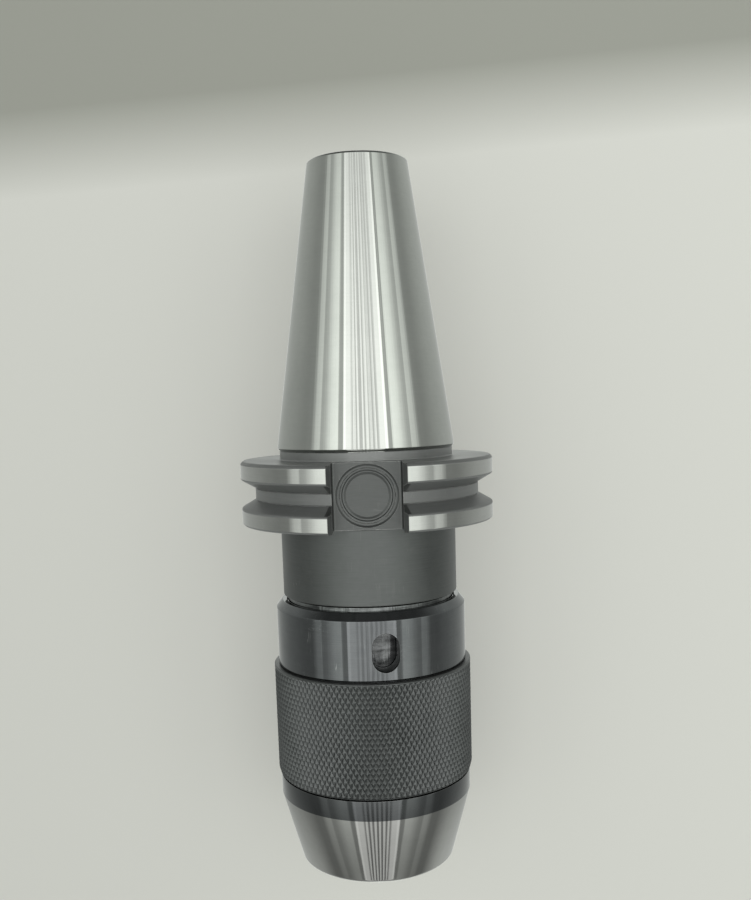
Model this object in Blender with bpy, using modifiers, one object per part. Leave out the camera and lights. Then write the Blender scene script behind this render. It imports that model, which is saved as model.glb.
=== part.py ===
"""Keyless drill chuck made in one with a size 40 steep-taper, V-flange shank.

The chuck stands on its nose: Z runs up the axis, the flat nose face is at Z = 0 and the small end of
the taper is on top. It is modelled fully open. Turning the sleeve group about the shank makes the jaw
screw climb down its left-hand thread. The three jaws hang from the screw by T-heads and slide down the
cone of the nose, so they close on the axis. A ball thrust bearing carries the grip.

All lengths are in metres. Lengths along the axis stack up from the nose, radii build out from the
drill that the chuck takes, so a change of one size carries the pieces that seat on it.
"""

import math

import bpy
import bmesh
from mathutils import Matrix, Vector

MM = 0.001
WELD_DISTANCE = 0.01 * MM

# Facets round a full turn, then round small sections, a rounded edge and one end of the spanner
# hole. A ball is an icosahedron that is split this many times, less one.
BODY_STEPS = 60
INNER_STEPS = 40
SEAL_STEPS = 8
POCKET_STEPS = 10
EDGE_STEPS = 3
HOLE_END_STEPS = 8
BALL_SPLIT_STEPS = 2

# Neighbouring faces that meet at more than this angle keep a sharp edge
SHARP_ANGLE = math.radians(25.0)

# Clearances
SEAT_GAP = 0.30 * MM
RUNNING_GAP = 0.30 * MM
ROLLING_GAP = 0.15 * MM
FEED_GAP = 0.40 * MM
STOP_GAP = 0.60 * MM
NUT_RUN_CLEARANCE = 1.20 * MM

# Drill sizes that the jaws take, and the jaws themselves
GRIP_RADIUS_OPEN = 6.50 * MM
GRIP_RADIUS_CLOSED = 0.50 * MM
JAW_ANGLE = math.radians(15.0)
JAW_COUNT = 3
JAW_LENGTH = 27.70 * MM
JAW_WIDTH = 8.40 * MM
JAW_EDGE_WIDTH = 1.20 * MM
JAW_TIP_DEPTH = 6.70 * MM
JAW_BACK_RADIUS = 9.50 * MM
JAW_TIP_CHAMFER = 0.80 * MM
JAW_TIP_SLOPE = math.radians(35.0)
JAW_NECK_WIDTH = 5.00 * MM
JAW_HEAD_DEPTH = 5.70 * MM
JAW_HEAD_HEIGHT = 3.80 * MM
JAW_AZIMUTH = math.radians(-90.0)

# Jaw screw
SCREW_LIP = 3.00 * MM
SCREW_PLATE = 2.60 * MM
SCREW_STEM_RADIUS = 8.00 * MM
SCREW_STEM_LENGTH = 36.00 * MM
SCREW_CHAMFER = 0.80 * MM

# Spindle skirt, bearing and nut, from the axis outwards
SKIRT_WALL = 2.60 * MM
SKIRT_DROP = 0.70 * MM
RACE_WIDTH = 4.80 * MM
RACE_THICKNESS = 1.70 * MM
BALL_RADIUS = 1.50 * MM
BALL_COUNT = 18
BALL_NEST = 0.40 * MM
CAGE_MARGIN = 0.20 * MM
CAGE_THICKNESS = 1.50 * MM
POCKET_GAP = 0.20 * MM
NUT_HEIGHT = 5.20 * MM
NUT_WIDTH = 4.40 * MM
NUT_NOTCH_COUNT = 4
NUT_NOTCH_WIDTH = 4.00 * MM
NUT_NOTCH_DEPTH = 1.60 * MM
NUT_NOTCH_AZIMUTH = math.radians(45.0)

# Spanner sleeve, from its bores outwards
BORE_LEDGE = 1.30 * MM
CLAMP_STEP = 0.60 * MM
SLEEVE_WALL = 1.60 * MM
COLLAR_STEP = 1.00 * MM
COLLAR_LENGTH = 16.40 * MM
COLLAR_CHAMFER = 1.50 * MM
COLLAR_CHAMFER_DROP = 1.90 * MM
BEARING_RISE = 0.50 * MM
HOLE_AZIMUTH = math.radians(-82.25)
HOLE_WIDTH = 6.70 * MM
HOLE_HEIGHT = 9.40 * MM
HOLE_RISE = 6.75 * MM

# Knurled grip sleeve
GRIP_WALL = 1.90 * MM
GRIP_LENGTH = 29.00 * MM
GRIP_TOP_CHAMFER = 0.30 * MM
GRIP_FOOT_CHAMFER = 3.00 * MM
GRIP_FOOT_INSET = 0.70 * MM

# Nose cone
NOSE_HEIGHT = 18.00 * MM
NOSE_BAND_HEIGHT = 5.30 * MM
NOSE_BAND_STEP = 1.15 * MM
NOSE_EDGE = 0.90 * MM
MOUTH_CHAMFER = 0.60 * MM

# Jaw guide
GUIDE_FOOT_RISE = 1.20 * MM
GUIDE_BORE_RADIUS = 7.40 * MM
GUIDE_FLOOR_CLEARANCE = 0.70 * MM
GUIDE_RING_HEIGHT = 6.20 * MM
GUIDE_RING_WIDTH = 2.60 * MM
GUIDE_RING_DROP = 1.70 * MM

# Dust seal between the neck and the collar
SEAL_SECTION_RADIUS = 0.75 * MM
SEAL_POCKET_DEPTH = 0.70 * MM
NECK_GAP = 1.20 * MM

# Neck, flange and taper
NECK_SHOULDER = 2.80 * MM
NECK_LENGTH = 18.45 * MM
NECK_CHAMFER = 0.30 * MM
FLANGE_RADIUS = 31.75 * MM
FLANGE_THICKNESS = 15.875 * MM
FLANGE_CHAMFER = 0.40 * MM
GROOVE_RISE = 7.99 * MM
GROOVE_DEPTH = 3.60 * MM
GROOVE_FLOOR_WIDTH = 3.35 * MM
GROOVE_HALF_ANGLE = math.radians(30.0)
RELIEF_LENGTH = 3.175 * MM
RELIEF_INSET = 0.50 * MM
TAPER_OVERRUN = 0.40 * MM
GAUGE_RADIUS = 22.225 * MM
TAPER_LENGTH = 68.25 * MM
TAPER_RATE = 7.0 / 24.0
TAPER_CHAMFER = 0.90 * MM

# Drive key slots in the flange, and the round recess in the front one
SLOT_WIDTH = 16.38 * MM
SLOT_CORNER = 0.60 * MM
SLOT_EDGE_CHAMFER = 1.00 * MM
FRONT_SLOT_DEPTH = 9.14 * MM
REAR_SLOT_DEPTH = 6.73 * MM
RECESS_RISE = 8.00 * MM
RECESS_RIM_RADIUS = 7.25 * MM
RECESS_RIM_DEPTH = 0.50 * MM
RECESS_STEP_RADIUS = 6.10 * MM
RECESS_STEP_DEPTH = 0.85 * MM
RECESS_FLOOR_RADIUS = 4.50 * MM
RECESS_FLOOR_DEPTH = 1.20 * MM

# Bores of the shank
STUD_PILOT_RADIUS = 8.50 * MM
STUD_PILOT_DEPTH = 5.00 * MM
STUD_HOLE_RADIUS = 7.00 * MM
STUD_HOLE_DEPTH = 34.00 * MM
THROUGH_BORE_RADIUS = 4.00 * MM
STEM_HEADROOM = 1.50 * MM

# Colour, metallic value and roughness of each finish
GROUND_STEEL = ("ground_steel", (0.62, 0.62, 0.60), 1.0, 0.22)
BLACKED_STEEL = ("blacked_steel", (0.10, 0.105, 0.11), 0.8, 0.42)
KNURLED_STEEL = ("knurled_steel", (0.07, 0.075, 0.08), 0.7, 0.55)
HARD_STEEL = ("hard_steel", (0.50, 0.50, 0.50), 1.0, 0.30)
BEARING_STEEL = ("bearing_steel", (0.70, 0.70, 0.70), 1.0, 0.12)
CAGE_BRASS = ("cage_brass", (0.62, 0.45, 0.18), 1.0, 0.35)
SEAL_RUBBER = ("seal_rubber", (0.02, 0.02, 0.02), 0.0, 0.30)

# Heights along the axis, from the nose face up
GRIP_FOOT_Z = NOSE_HEIGHT + NOSE_BAND_HEIGHT + SEAT_GAP
GRIP_TOP_Z = GRIP_FOOT_Z + GRIP_LENGTH
COLLAR_FOOT_Z = GRIP_TOP_Z + SEAT_GAP
COLLAR_TOP_Z = COLLAR_FOOT_Z + COLLAR_LENGTH
NECK_FOOT_Z = COLLAR_TOP_Z + NECK_GAP
FLANGE_FOOT_Z = NECK_FOOT_Z + NECK_LENGTH
FLANGE_TOP_Z = FLANGE_FOOT_Z + FLANGE_THICKNESS
GAUGE_Z = FLANGE_TOP_Z + RELIEF_LENGTH
TAPER_TOP_Z = GAUGE_Z + TAPER_LENGTH

# The thrust bearing hangs below the sleeve's inner ledge
LEDGE_Z = COLLAR_FOOT_Z + BEARING_RISE
REAR_RACE_TOP_Z = LEDGE_Z - SEAT_GAP
RACE_FACE_OFFSET = BALL_RADIUS + ROLLING_GAP - BALL_NEST
BALL_Z = REAR_RACE_TOP_Z - RACE_THICKNESS - RACE_FACE_OFFSET
FRONT_RACE_FOOT_Z = BALL_Z - RACE_FACE_OFFSET - RACE_THICKNESS
NUT_TOP_Z = FRONT_RACE_FOOT_Z - SEAT_GAP
NUT_FOOT_Z = NUT_TOP_Z - NUT_HEIGHT

# The jaw screw hangs below the nut when the chuck is open
SCREW_FOOT_Z = NUT_FOOT_Z - NUT_RUN_CLEARANCE
SKIRT_FOOT_Z = NUT_FOOT_Z - SKIRT_DROP
SCREW_CAVITY_HEIGHT = JAW_HEAD_HEIGHT + 2.0 * SEAT_GAP
SCREW_PLATE_Z = SCREW_FOOT_Z + SCREW_LIP + SCREW_CAVITY_HEIGHT
SCREW_TOP_Z = SCREW_PLATE_Z + SCREW_PLATE
STEM_TOP_Z = SCREW_TOP_Z + SCREW_STEM_LENGTH
SKIRT_FLOOR_Z = SCREW_TOP_Z + STOP_GAP
STEM_BORE_TOP_Z = STEM_TOP_Z + STEM_HEADROOM
JAW_SHOULDER_Z = SCREW_FOOT_Z - SEAT_GAP
JAW_TIP_Z = JAW_SHOULDER_Z - JAW_LENGTH
JAW_HEAD_FOOT_Z = SCREW_FOOT_Z + SCREW_LIP + SEAT_GAP
JAW_HEAD_TOP_Z = JAW_HEAD_FOOT_Z + JAW_HEAD_HEIGHT
JAW_FEED = (GRIP_RADIUS_OPEN - GRIP_RADIUS_CLOSED) / math.tan(JAW_ANGLE)

# Radii, from the jaws outwards
HEAD_RADIUS = GRIP_RADIUS_OPEN + JAW_HEAD_DEPTH
SCREW_RADIUS = HEAD_RADIUS + SEAT_GAP
SKIRT_BORE_RADIUS = SCREW_RADIUS + FEED_GAP
SKIRT_RADIUS = SKIRT_BORE_RADIUS + SKIRT_WALL
STEM_BORE_RADIUS = SCREW_STEM_RADIUS + SEAT_GAP
RACE_BORE_RADIUS = SKIRT_RADIUS + FEED_GAP
RACE_RADIUS = RACE_BORE_RADIUS + RACE_WIDTH
BALL_PITCH_RADIUS = 0.5 * (RACE_BORE_RADIUS + RACE_RADIUS)
CHAMBER_RADIUS = RACE_RADIUS + RUNNING_GAP
CLAMP_BORE_RADIUS = CHAMBER_RADIUS + CLAMP_STEP
SLEEVE_RADIUS = CLAMP_BORE_RADIUS + SLEEVE_WALL
COLLAR_RADIUS = SLEEVE_RADIUS + COLLAR_STEP
GRIP_BORE_RADIUS = SLEEVE_RADIUS + SEAT_GAP
GRIP_RADIUS = GRIP_BORE_RADIUS + GRIP_WALL
NOSE_BAND_RADIUS = SLEEVE_RADIUS + NOSE_BAND_STEP
NOSE_FACE_RADIUS = NOSE_BAND_RADIUS - NOSE_HEIGHT * math.tan(JAW_ANGLE)
JOURNAL_BORE_RADIUS = CHAMBER_RADIUS - BORE_LEDGE
JOURNAL_RADIUS = JOURNAL_BORE_RADIUS - RUNNING_GAP
NECK_RADIUS = JOURNAL_RADIUS + NECK_SHOULDER
GROOVE_FLOOR_RADIUS = FLANGE_RADIUS - GROOVE_DEPTH
FRONT_SLOT_FLOOR = FLANGE_RADIUS - FRONT_SLOT_DEPTH
REAR_SLOT_FLOOR = FLANGE_RADIUS - REAR_SLOT_DEPTH

# The guide ring is clamped between the nose cone and a step in the sleeve's bore
GUIDE_RING_TOP_Z = NUT_FOOT_Z - GUIDE_RING_DROP
GUIDE_RING_FOOT_Z = GUIDE_RING_TOP_Z - GUIDE_RING_HEIGHT
CLAMP_STEP_Z = GUIDE_RING_TOP_Z + SEAT_GAP
NOSE_SPIGOT_TOP_Z = GUIDE_RING_FOOT_Z - SEAT_GAP
GUIDE_RING_RADIUS = CLAMP_BORE_RADIUS - SEAT_GAP
GUIDE_SLOT_RADIUS = GUIDE_RING_RADIUS - GUIDE_RING_WIDTH
JAW_REAR_RADIUS = GUIDE_SLOT_RADIUS - FEED_GAP
GUIDE_SLOT_WIDTH = JAW_WIDTH + 2.0 * SEAT_GAP


def cone_radius(height):
    """Radius of the nose's inner cone, on which the jaws' backs slide."""
    jaw_back = GRIP_RADIUS_OPEN + JAW_TIP_DEPTH + RUNNING_GAP
    return jaw_back + (height - JAW_TIP_Z) * math.tan(JAW_ANGLE)


def taper_radius(height):
    """Radius of the steep taper at a height above its gauge line."""
    return GAUGE_RADIUS - 0.5 * TAPER_RATE * height


def clear_scene():
    for obj in list(bpy.data.objects):
        bpy.data.objects.remove(obj, do_unlink=True)


def new_collection(name):
    collection = bpy.data.collections.new(name)
    bpy.context.scene.collection.children.link(collection)
    return collection


def material(finish):
    """Principled material for one of the finishes named above, made once."""
    name, colour, metallic, roughness = finish
    found = bpy.data.materials.get(name)
    if found:
        return found
    made = bpy.data.materials.new(name)
    made.use_nodes = True
    shader = made.node_tree.nodes["Principled BSDF"]
    shader.inputs["Base Color"].default_value = (*colour, 1.0)
    shader.inputs["Metallic"].default_value = metallic
    shader.inputs["Roughness"].default_value = roughness
    made.diffuse_color = (*colour, 1.0)
    return made


def link(name, mesh, collection, height=0.0):
    obj = bpy.data.objects.new(name, mesh)
    obj.location.z = height
    collection.objects.link(obj)
    return obj


def evaluated_mesh(obj):
    """The mesh of an object with its modifiers worked out, welded and shaded smooth."""
    bpy.context.view_layer.update()
    graph = bpy.context.evaluated_depsgraph_get()
    mesh = bpy.data.meshes.new_from_object(obj.evaluated_get(graph))
    shape = bmesh.new()
    shape.from_mesh(mesh)
    bmesh.ops.remove_doubles(shape, verts=shape.verts, dist=WELD_DISTANCE)
    shape.to_mesh(mesh)
    shape.free()
    mesh.shade_smooth()
    mesh.set_sharp_from_angle(angle=SHARP_ANGLE)
    return mesh


def bake(obj):
    """Puts the worked-out mesh in place of an object's modifiers."""
    mesh = evaluated_mesh(obj)
    obj.modifiers.clear()
    obj.data = mesh
    return obj


def finish_part(obj, finish):
    """Works out a part's turning and cuts, shades it, and gives it its own copy of a finish."""
    own = material(finish).copy()
    own.name = obj.name + "_" + finish[0]
    bake(obj)
    obj.data.materials.clear()
    obj.data.materials.append(own)
    return obj


def turned(name, profile, collection, steps, height=0.0):
    """Turns a closed profile of (radius, height) points, listed down its outer side, about Z."""
    shape = bmesh.new()
    points = [shape.verts.new((radius, 0.0, z - height)) for radius, z in profile]
    for start, end in zip(points, points[1:] + points[:1]):
        shape.edges.new((start, end))
    mesh = bpy.data.meshes.new(name)
    shape.to_mesh(mesh)
    shape.free()
    obj = link(name, mesh, collection, height)
    screw = obj.modifiers.new("turn", "SCREW")
    screw.axis = "Z"
    screw.angle = math.tau
    screw.steps = steps
    screw.render_steps = steps
    screw.use_merge_vertices = True
    screw.merge_threshold = WELD_DISTANCE
    return obj


def extruded(name, outline, bottom, top, collection):
    """A flat outline of (x, y) points filled and raised between two heights."""
    curve = bpy.data.curves.new(name, "CURVE")
    curve.dimensions = "2D"
    curve.fill_mode = "BOTH"
    curve.extrude = 0.5 * (top - bottom)
    spline = curve.splines.new("POLY")
    spline.points.add(len(outline) - 1)
    for point, (x, y) in zip(spline.points, outline):
        point.co = (x, y, 0.0, 1.0)
    spline.use_cyclic_u = True
    drawn = link(name + "_outline", curve, collection, 0.5 * (top + bottom))
    mesh = evaluated_mesh(drawn)
    mesh.transform(drawn.matrix_world)
    bpy.data.objects.remove(drawn, do_unlink=True)
    return link(name, mesh, collection)


def box(name, low, high, collection):
    """A box between two opposite corners."""
    shape = bmesh.new()
    bmesh.ops.create_cube(shape, size=1.0)
    low = Vector(low)
    high = Vector(high)
    bmesh.ops.scale(shape, verts=shape.verts, vec=high - low)
    bmesh.ops.translate(shape, verts=shape.verts, vec=0.5 * (low + high))
    mesh = bpy.data.meshes.new(name)
    shape.to_mesh(mesh)
    shape.free()
    return link(name, mesh, collection)


def rods(name, radius, length, places, steps, collection):
    """Cylinders along Z, one at each of the given centres, as one cutter."""
    shape = bmesh.new()
    for place in places:
        bmesh.ops.create_cone(
            shape,
            cap_ends=True,
            segments=steps,
            radius1=radius,
            radius2=radius,
            depth=length,
            matrix=Matrix.Translation(place),
        )
    mesh = bpy.data.meshes.new(name)
    shape.to_mesh(mesh)
    shape.free()
    return link(name, mesh, collection)


def as_cutter(obj):
    obj.hide_render = True
    obj.display_type = "WIRE"
    return obj


def cut(target, cutter, operation="DIFFERENCE"):
    """Adds a Boolean modifier that works one shape on another."""
    as_cutter(cutter)
    modifier = target.modifiers.new(cutter.name, "BOOLEAN")
    modifier.operation = operation
    modifier.solver = "EXACT"
    modifier.object = cutter
    return target


def spaced(count, start=0.0):
    """Equal angles round a full turn."""
    return [start + math.tau * number / count for number in range(count)]


def around(radius, angle, height=0.0):
    return Vector((radius * math.cos(angle), radius * math.sin(angle), height))


def radial_slot(name, width, reach, bottom, top, angle, collection):
    """A slot cutter from just past the axis outwards, so that three of them meet with no sliver."""
    half = 0.5 * width
    past_axis = half / math.tan(math.pi / JAW_COUNT)
    slot = box(name, (-past_axis, -half, bottom), (reach, half, top), collection)
    slot.rotation_euler.z = angle
    return slot


def shank_profile():
    """Outer side from the small end down to the skirt, then the bores back up."""
    groove_z = FLANGE_FOOT_Z + GROOVE_RISE
    floor_half = 0.5 * GROOVE_FLOOR_WIDTH
    groove_depth = FLANGE_RADIUS - GROOVE_FLOOR_RADIUS
    mouth_half = floor_half + groove_depth * math.tan(GROOVE_HALF_ANGLE)
    relief_radius = GAUGE_RADIUS - RELIEF_INSET
    stud_hole_z = TAPER_TOP_Z - STUD_HOLE_DEPTH
    pilot_z = TAPER_TOP_Z - STUD_PILOT_DEPTH
    outer = [
        (taper_radius(TAPER_LENGTH) - TAPER_CHAMFER, TAPER_TOP_Z),
        (taper_radius(TAPER_LENGTH - TAPER_CHAMFER), TAPER_TOP_Z - TAPER_CHAMFER),
        (taper_radius(-TAPER_OVERRUN), GAUGE_Z - TAPER_OVERRUN),
        (relief_radius, GAUGE_Z - TAPER_OVERRUN - RELIEF_INSET),
        (relief_radius, FLANGE_TOP_Z),
        (FLANGE_RADIUS - FLANGE_CHAMFER, FLANGE_TOP_Z),
        (FLANGE_RADIUS, FLANGE_TOP_Z - FLANGE_CHAMFER),
        (FLANGE_RADIUS, groove_z + mouth_half),
        (GROOVE_FLOOR_RADIUS, groove_z + floor_half),
        (GROOVE_FLOOR_RADIUS, groove_z - floor_half),
        (FLANGE_RADIUS, groove_z - mouth_half),
        (FLANGE_RADIUS, FLANGE_FOOT_Z + FLANGE_CHAMFER),
        (FLANGE_RADIUS - FLANGE_CHAMFER, FLANGE_FOOT_Z),
        (NECK_RADIUS, FLANGE_FOOT_Z),
        (NECK_RADIUS, NECK_FOOT_Z + NECK_CHAMFER),
        (NECK_RADIUS - NECK_CHAMFER, NECK_FOOT_Z),
        (JOURNAL_RADIUS, NECK_FOOT_Z),
        (JOURNAL_RADIUS, LEDGE_Z + RUNNING_GAP),
        (SKIRT_RADIUS, LEDGE_Z + RUNNING_GAP),
        (SKIRT_RADIUS, SKIRT_FOOT_Z),
    ]
    inner = [
        (SKIRT_BORE_RADIUS, SKIRT_FOOT_Z),
        (SKIRT_BORE_RADIUS, SKIRT_FLOOR_Z),
        (STEM_BORE_RADIUS, SKIRT_FLOOR_Z),
        (STEM_BORE_RADIUS, STEM_BORE_TOP_Z),
        (THROUGH_BORE_RADIUS, STEM_BORE_TOP_Z + STEM_BORE_RADIUS - THROUGH_BORE_RADIUS),
        (THROUGH_BORE_RADIUS, stud_hole_z - STUD_HOLE_RADIUS + THROUGH_BORE_RADIUS),
        (STUD_HOLE_RADIUS, stud_hole_z),
        (STUD_HOLE_RADIUS, pilot_z),
        (STUD_PILOT_RADIUS, pilot_z),
        (STUD_PILOT_RADIUS, TAPER_TOP_Z),
    ]
    return outer + inner


def drive_slot(name, floor, angle, collection):
    """Cutter for a key slot: rounded floor corners, and chamfers where its walls meet the rim."""
    half = 0.5 * SLOT_WIDTH
    rim = math.sqrt(FLANGE_RADIUS**2 - (half + SLOT_EDGE_CHAMFER) ** 2)
    past_rim = FLANGE_RADIUS - rim + SLOT_EDGE_CHAMFER
    outline = [
        (floor, half - SLOT_CORNER),
        (floor + SLOT_CORNER, half),
        (rim - SLOT_EDGE_CHAMFER, half),
        (rim + past_rim, half + SLOT_EDGE_CHAMFER + past_rim),
    ]
    outline += [(x, -y) for x, y in reversed(outline)]
    bottom = FLANGE_FOOT_Z - SLOT_EDGE_CHAMFER
    top = FLANGE_TOP_Z + SLOT_EDGE_CHAMFER
    slot = extruded(name, outline, bottom, top, collection)
    slot.rotation_euler.z = angle
    return slot


def slot_recess(collection):
    """Cutter for the stepped round recess in the floor of the front key slot."""
    mouth = RECESS_RIM_DEPTH
    profile = [
        (RECESS_RIM_RADIUS, mouth),
        (RECESS_RIM_RADIUS, -RECESS_RIM_DEPTH),
        (RECESS_STEP_RADIUS, -RECESS_RIM_DEPTH),
        (RECESS_STEP_RADIUS, -RECESS_STEP_DEPTH),
        (RECESS_FLOOR_RADIUS, -RECESS_FLOOR_DEPTH),
        (0.0, -RECESS_FLOOR_DEPTH),
        (0.0, mouth),
    ]
    recess = bake(turned("slot_recess", profile, collection, INNER_STEPS))
    recess.rotation_euler.x = math.radians(90.0)
    recess.location = (0.0, -FRONT_SLOT_FLOOR, FLANGE_FOOT_Z + RECESS_RISE)
    return recess


def make_shank(parts, cutters):
    """Taper, V-flange, neck, sleeve journal and the skirt with the screw's bore, in one piece."""
    shank = turned("shank_body", shank_profile(), parts, BODY_STEPS)
    cut(shank, drive_slot("front_key_slot", FRONT_SLOT_FLOOR, math.radians(-90.0), cutters))
    cut(shank, drive_slot("rear_key_slot", REAR_SLOT_FLOOR, math.radians(90.0), cutters))
    cut(shank, slot_recess(cutters))
    return finish_part(shank, GROUND_STEEL)


def ring_section(centre_radius, centre_z, radius, count):
    """A round section, listed down its outer side."""
    angles = spaced(count, math.radians(90.0))
    return [
        (centre_radius + radius * math.cos(angle), centre_z + radius * math.sin(angle))
        for angle in [math.pi - turn for turn in angles]
    ]


def make_dust_seal(parts):
    """Round-section rubber ring in the pocket between the neck and the collar."""
    ring_radius = JOURNAL_RADIUS + SEAT_GAP + SEAL_SECTION_RADIUS
    ring_z = COLLAR_TOP_Z - SEAL_POCKET_DEPTH + ROLLING_GAP + SEAL_SECTION_RADIUS
    section = ring_section(ring_radius, ring_z, SEAL_SECTION_RADIUS, SEAL_STEPS)
    return finish_part(turned("dust_seal", section, parts, INNER_STEPS), SEAL_RUBBER)


def make_spanner_sleeve(parts, cutters):
    """Main sleeve: the plain collar shows, and its thin front part carries grip and nose."""
    pocket_radius = JOURNAL_BORE_RADIUS + 2.0 * SEAL_SECTION_RADIUS + SEAT_GAP
    profile = [
        (COLLAR_RADIUS - COLLAR_CHAMFER, COLLAR_TOP_Z),
        (COLLAR_RADIUS, COLLAR_TOP_Z - COLLAR_CHAMFER_DROP),
        (COLLAR_RADIUS, COLLAR_FOOT_Z),
        (SLEEVE_RADIUS, COLLAR_FOOT_Z),
        (SLEEVE_RADIUS, GRIP_FOOT_Z),
        (CLAMP_BORE_RADIUS, GRIP_FOOT_Z),
        (CLAMP_BORE_RADIUS, CLAMP_STEP_Z),
        (CHAMBER_RADIUS, CLAMP_STEP_Z),
        (CHAMBER_RADIUS, LEDGE_Z),
        (JOURNAL_BORE_RADIUS, LEDGE_Z),
        (JOURNAL_BORE_RADIUS, COLLAR_TOP_Z - SEAL_POCKET_DEPTH),
        (pocket_radius, COLLAR_TOP_Z - SEAL_POCKET_DEPTH),
        (pocket_radius, COLLAR_TOP_Z),
    ]
    sleeve = turned("spanner_sleeve", profile, parts, BODY_STEPS)
    cut(sleeve, spanner_hole(cutters))
    return finish_part(sleeve, BLACKED_STEEL)


def spanner_hole(collection):
    """Cutter for the upright obround hole that takes the pin of the hook spanner."""
    end_radius = 0.5 * HOLE_WIDTH
    straight = 0.5 * HOLE_HEIGHT - end_radius
    outline = []
    for side in (1.0, -1.0):
        for number in range(HOLE_END_STEPS + 1):
            angle = math.pi * number / HOLE_END_STEPS
            x = side * (straight + end_radius * math.sin(angle))
            y = side * end_radius * math.cos(angle)
            outline.append((x, y))
    hole = extruded("spanner_hole", outline, JOURNAL_RADIUS, COLLAR_RADIUS + HOLE_WIDTH, collection)
    hole.matrix_world = (
        Matrix.Translation((0.0, 0.0, COLLAR_FOOT_Z + HOLE_RISE))
        @ Matrix.Rotation(HOLE_AZIMUTH, 4, "Z")
        @ Matrix.Rotation(math.radians(90.0), 4, "Y")
    )
    return hole


def make_knurled_sleeve(parts):
    """Grip sleeve, fixed over the front of the spanner sleeve."""
    foot_radius = GRIP_RADIUS - GRIP_FOOT_INSET
    profile = [
        (GRIP_RADIUS - GRIP_TOP_CHAMFER, GRIP_TOP_Z),
        (GRIP_RADIUS, GRIP_TOP_Z - GRIP_TOP_CHAMFER),
        (GRIP_RADIUS, GRIP_FOOT_Z + GRIP_FOOT_CHAMFER),
        (foot_radius, GRIP_FOOT_Z),
        (GRIP_BORE_RADIUS, GRIP_FOOT_Z),
        (GRIP_BORE_RADIUS, GRIP_TOP_Z),
    ]
    return finish_part(turned("knurled_sleeve", profile, parts, BODY_STEPS), KNURLED_STEEL)


def rounded_corner(start, corner, end):
    """Points of the curve that rounds a profile's corner off between two points of its sides."""
    points = []
    for number in range(EDGE_STEPS + 1):
        share = number / EDGE_STEPS
        first = Vector(start).lerp(Vector(corner), share)
        second = Vector(corner).lerp(Vector(end), share)
        points.append(tuple(first.lerp(second, share)))
    return points


def make_nose_cone(parts):
    """Nose: a blacked band, the ground cone, and a spigot that screws into the sleeve."""
    band_top = NOSE_HEIGHT + NOSE_BAND_HEIGHT
    cone_end = (NOSE_FACE_RADIUS + math.tan(JAW_ANGLE) * NOSE_EDGE, NOSE_EDGE)
    face_end = (NOSE_FACE_RADIUS - NOSE_EDGE, 0.0)
    mouth_radius = cone_radius(MOUTH_CHAMFER)
    profile = [
        (GUIDE_RING_RADIUS, NOSE_SPIGOT_TOP_Z),
        (GUIDE_RING_RADIUS, band_top),
        (NOSE_BAND_RADIUS, band_top),
        (NOSE_BAND_RADIUS, NOSE_HEIGHT),
    ]
    profile += rounded_corner(cone_end, (NOSE_FACE_RADIUS, 0.0), face_end)
    profile += [
        (mouth_radius + MOUTH_CHAMFER, 0.0),
        (mouth_radius, MOUTH_CHAMFER),
        (cone_radius(NOSE_SPIGOT_TOP_Z), NOSE_SPIGOT_TOP_Z),
    ]
    return finish_part(turned("nose_cone", profile, parts, BODY_STEPS), GROUND_STEEL)


def make_jaw_guide(parts, cutters):
    """Slotted cone that keeps the jaws a third of a turn apart; its rear ring joins the sectors."""
    bore_top = SCREW_FOOT_Z - JAW_FEED - GUIDE_FLOOR_CLEARANCE
    foot_radius = cone_radius(GUIDE_FOOT_RISE) - SEAT_GAP
    shoulder_radius = cone_radius(GUIDE_RING_FOOT_Z) - SEAT_GAP
    profile = [
        (GUIDE_RING_RADIUS, GUIDE_RING_TOP_Z),
        (GUIDE_RING_RADIUS, GUIDE_RING_FOOT_Z),
        (shoulder_radius, GUIDE_RING_FOOT_Z),
        (foot_radius, GUIDE_FOOT_RISE),
        (GUIDE_BORE_RADIUS, GUIDE_FOOT_RISE),
        (GUIDE_BORE_RADIUS, bore_top),
        (SKIRT_BORE_RADIUS, bore_top),
        (SKIRT_BORE_RADIUS, GUIDE_RING_TOP_Z),
    ]
    guide = turned("jaw_guide", profile, parts, INNER_STEPS)
    slot_foot = GUIDE_FOOT_RISE - RUNNING_GAP
    below_ring = GUIDE_RING_FOOT_Z + SEAT_GAP
    above_ring = GUIDE_RING_TOP_Z + RUNNING_GAP
    outline = [
        (0.0, slot_foot),
        (CLAMP_BORE_RADIUS, slot_foot),
        (CLAMP_BORE_RADIUS, below_ring),
        (GUIDE_SLOT_RADIUS, below_ring),
        (GUIDE_SLOT_RADIUS, above_ring),
        (0.0, above_ring),
    ]
    half = 0.5 * GUIDE_SLOT_WIDTH
    for number, angle in enumerate(spaced(JAW_COUNT, JAW_AZIMUTH), 1):
        slot = extruded(f"guide_slot_{number}", outline, -half, half, cutters)
        slot.matrix_world = Matrix.Rotation(angle, 4, "Z") @ Matrix.Rotation(math.radians(90.0), 4, "X")
        cut(guide, slot)
    return finish_part(guide, HARD_STEEL)


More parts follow.
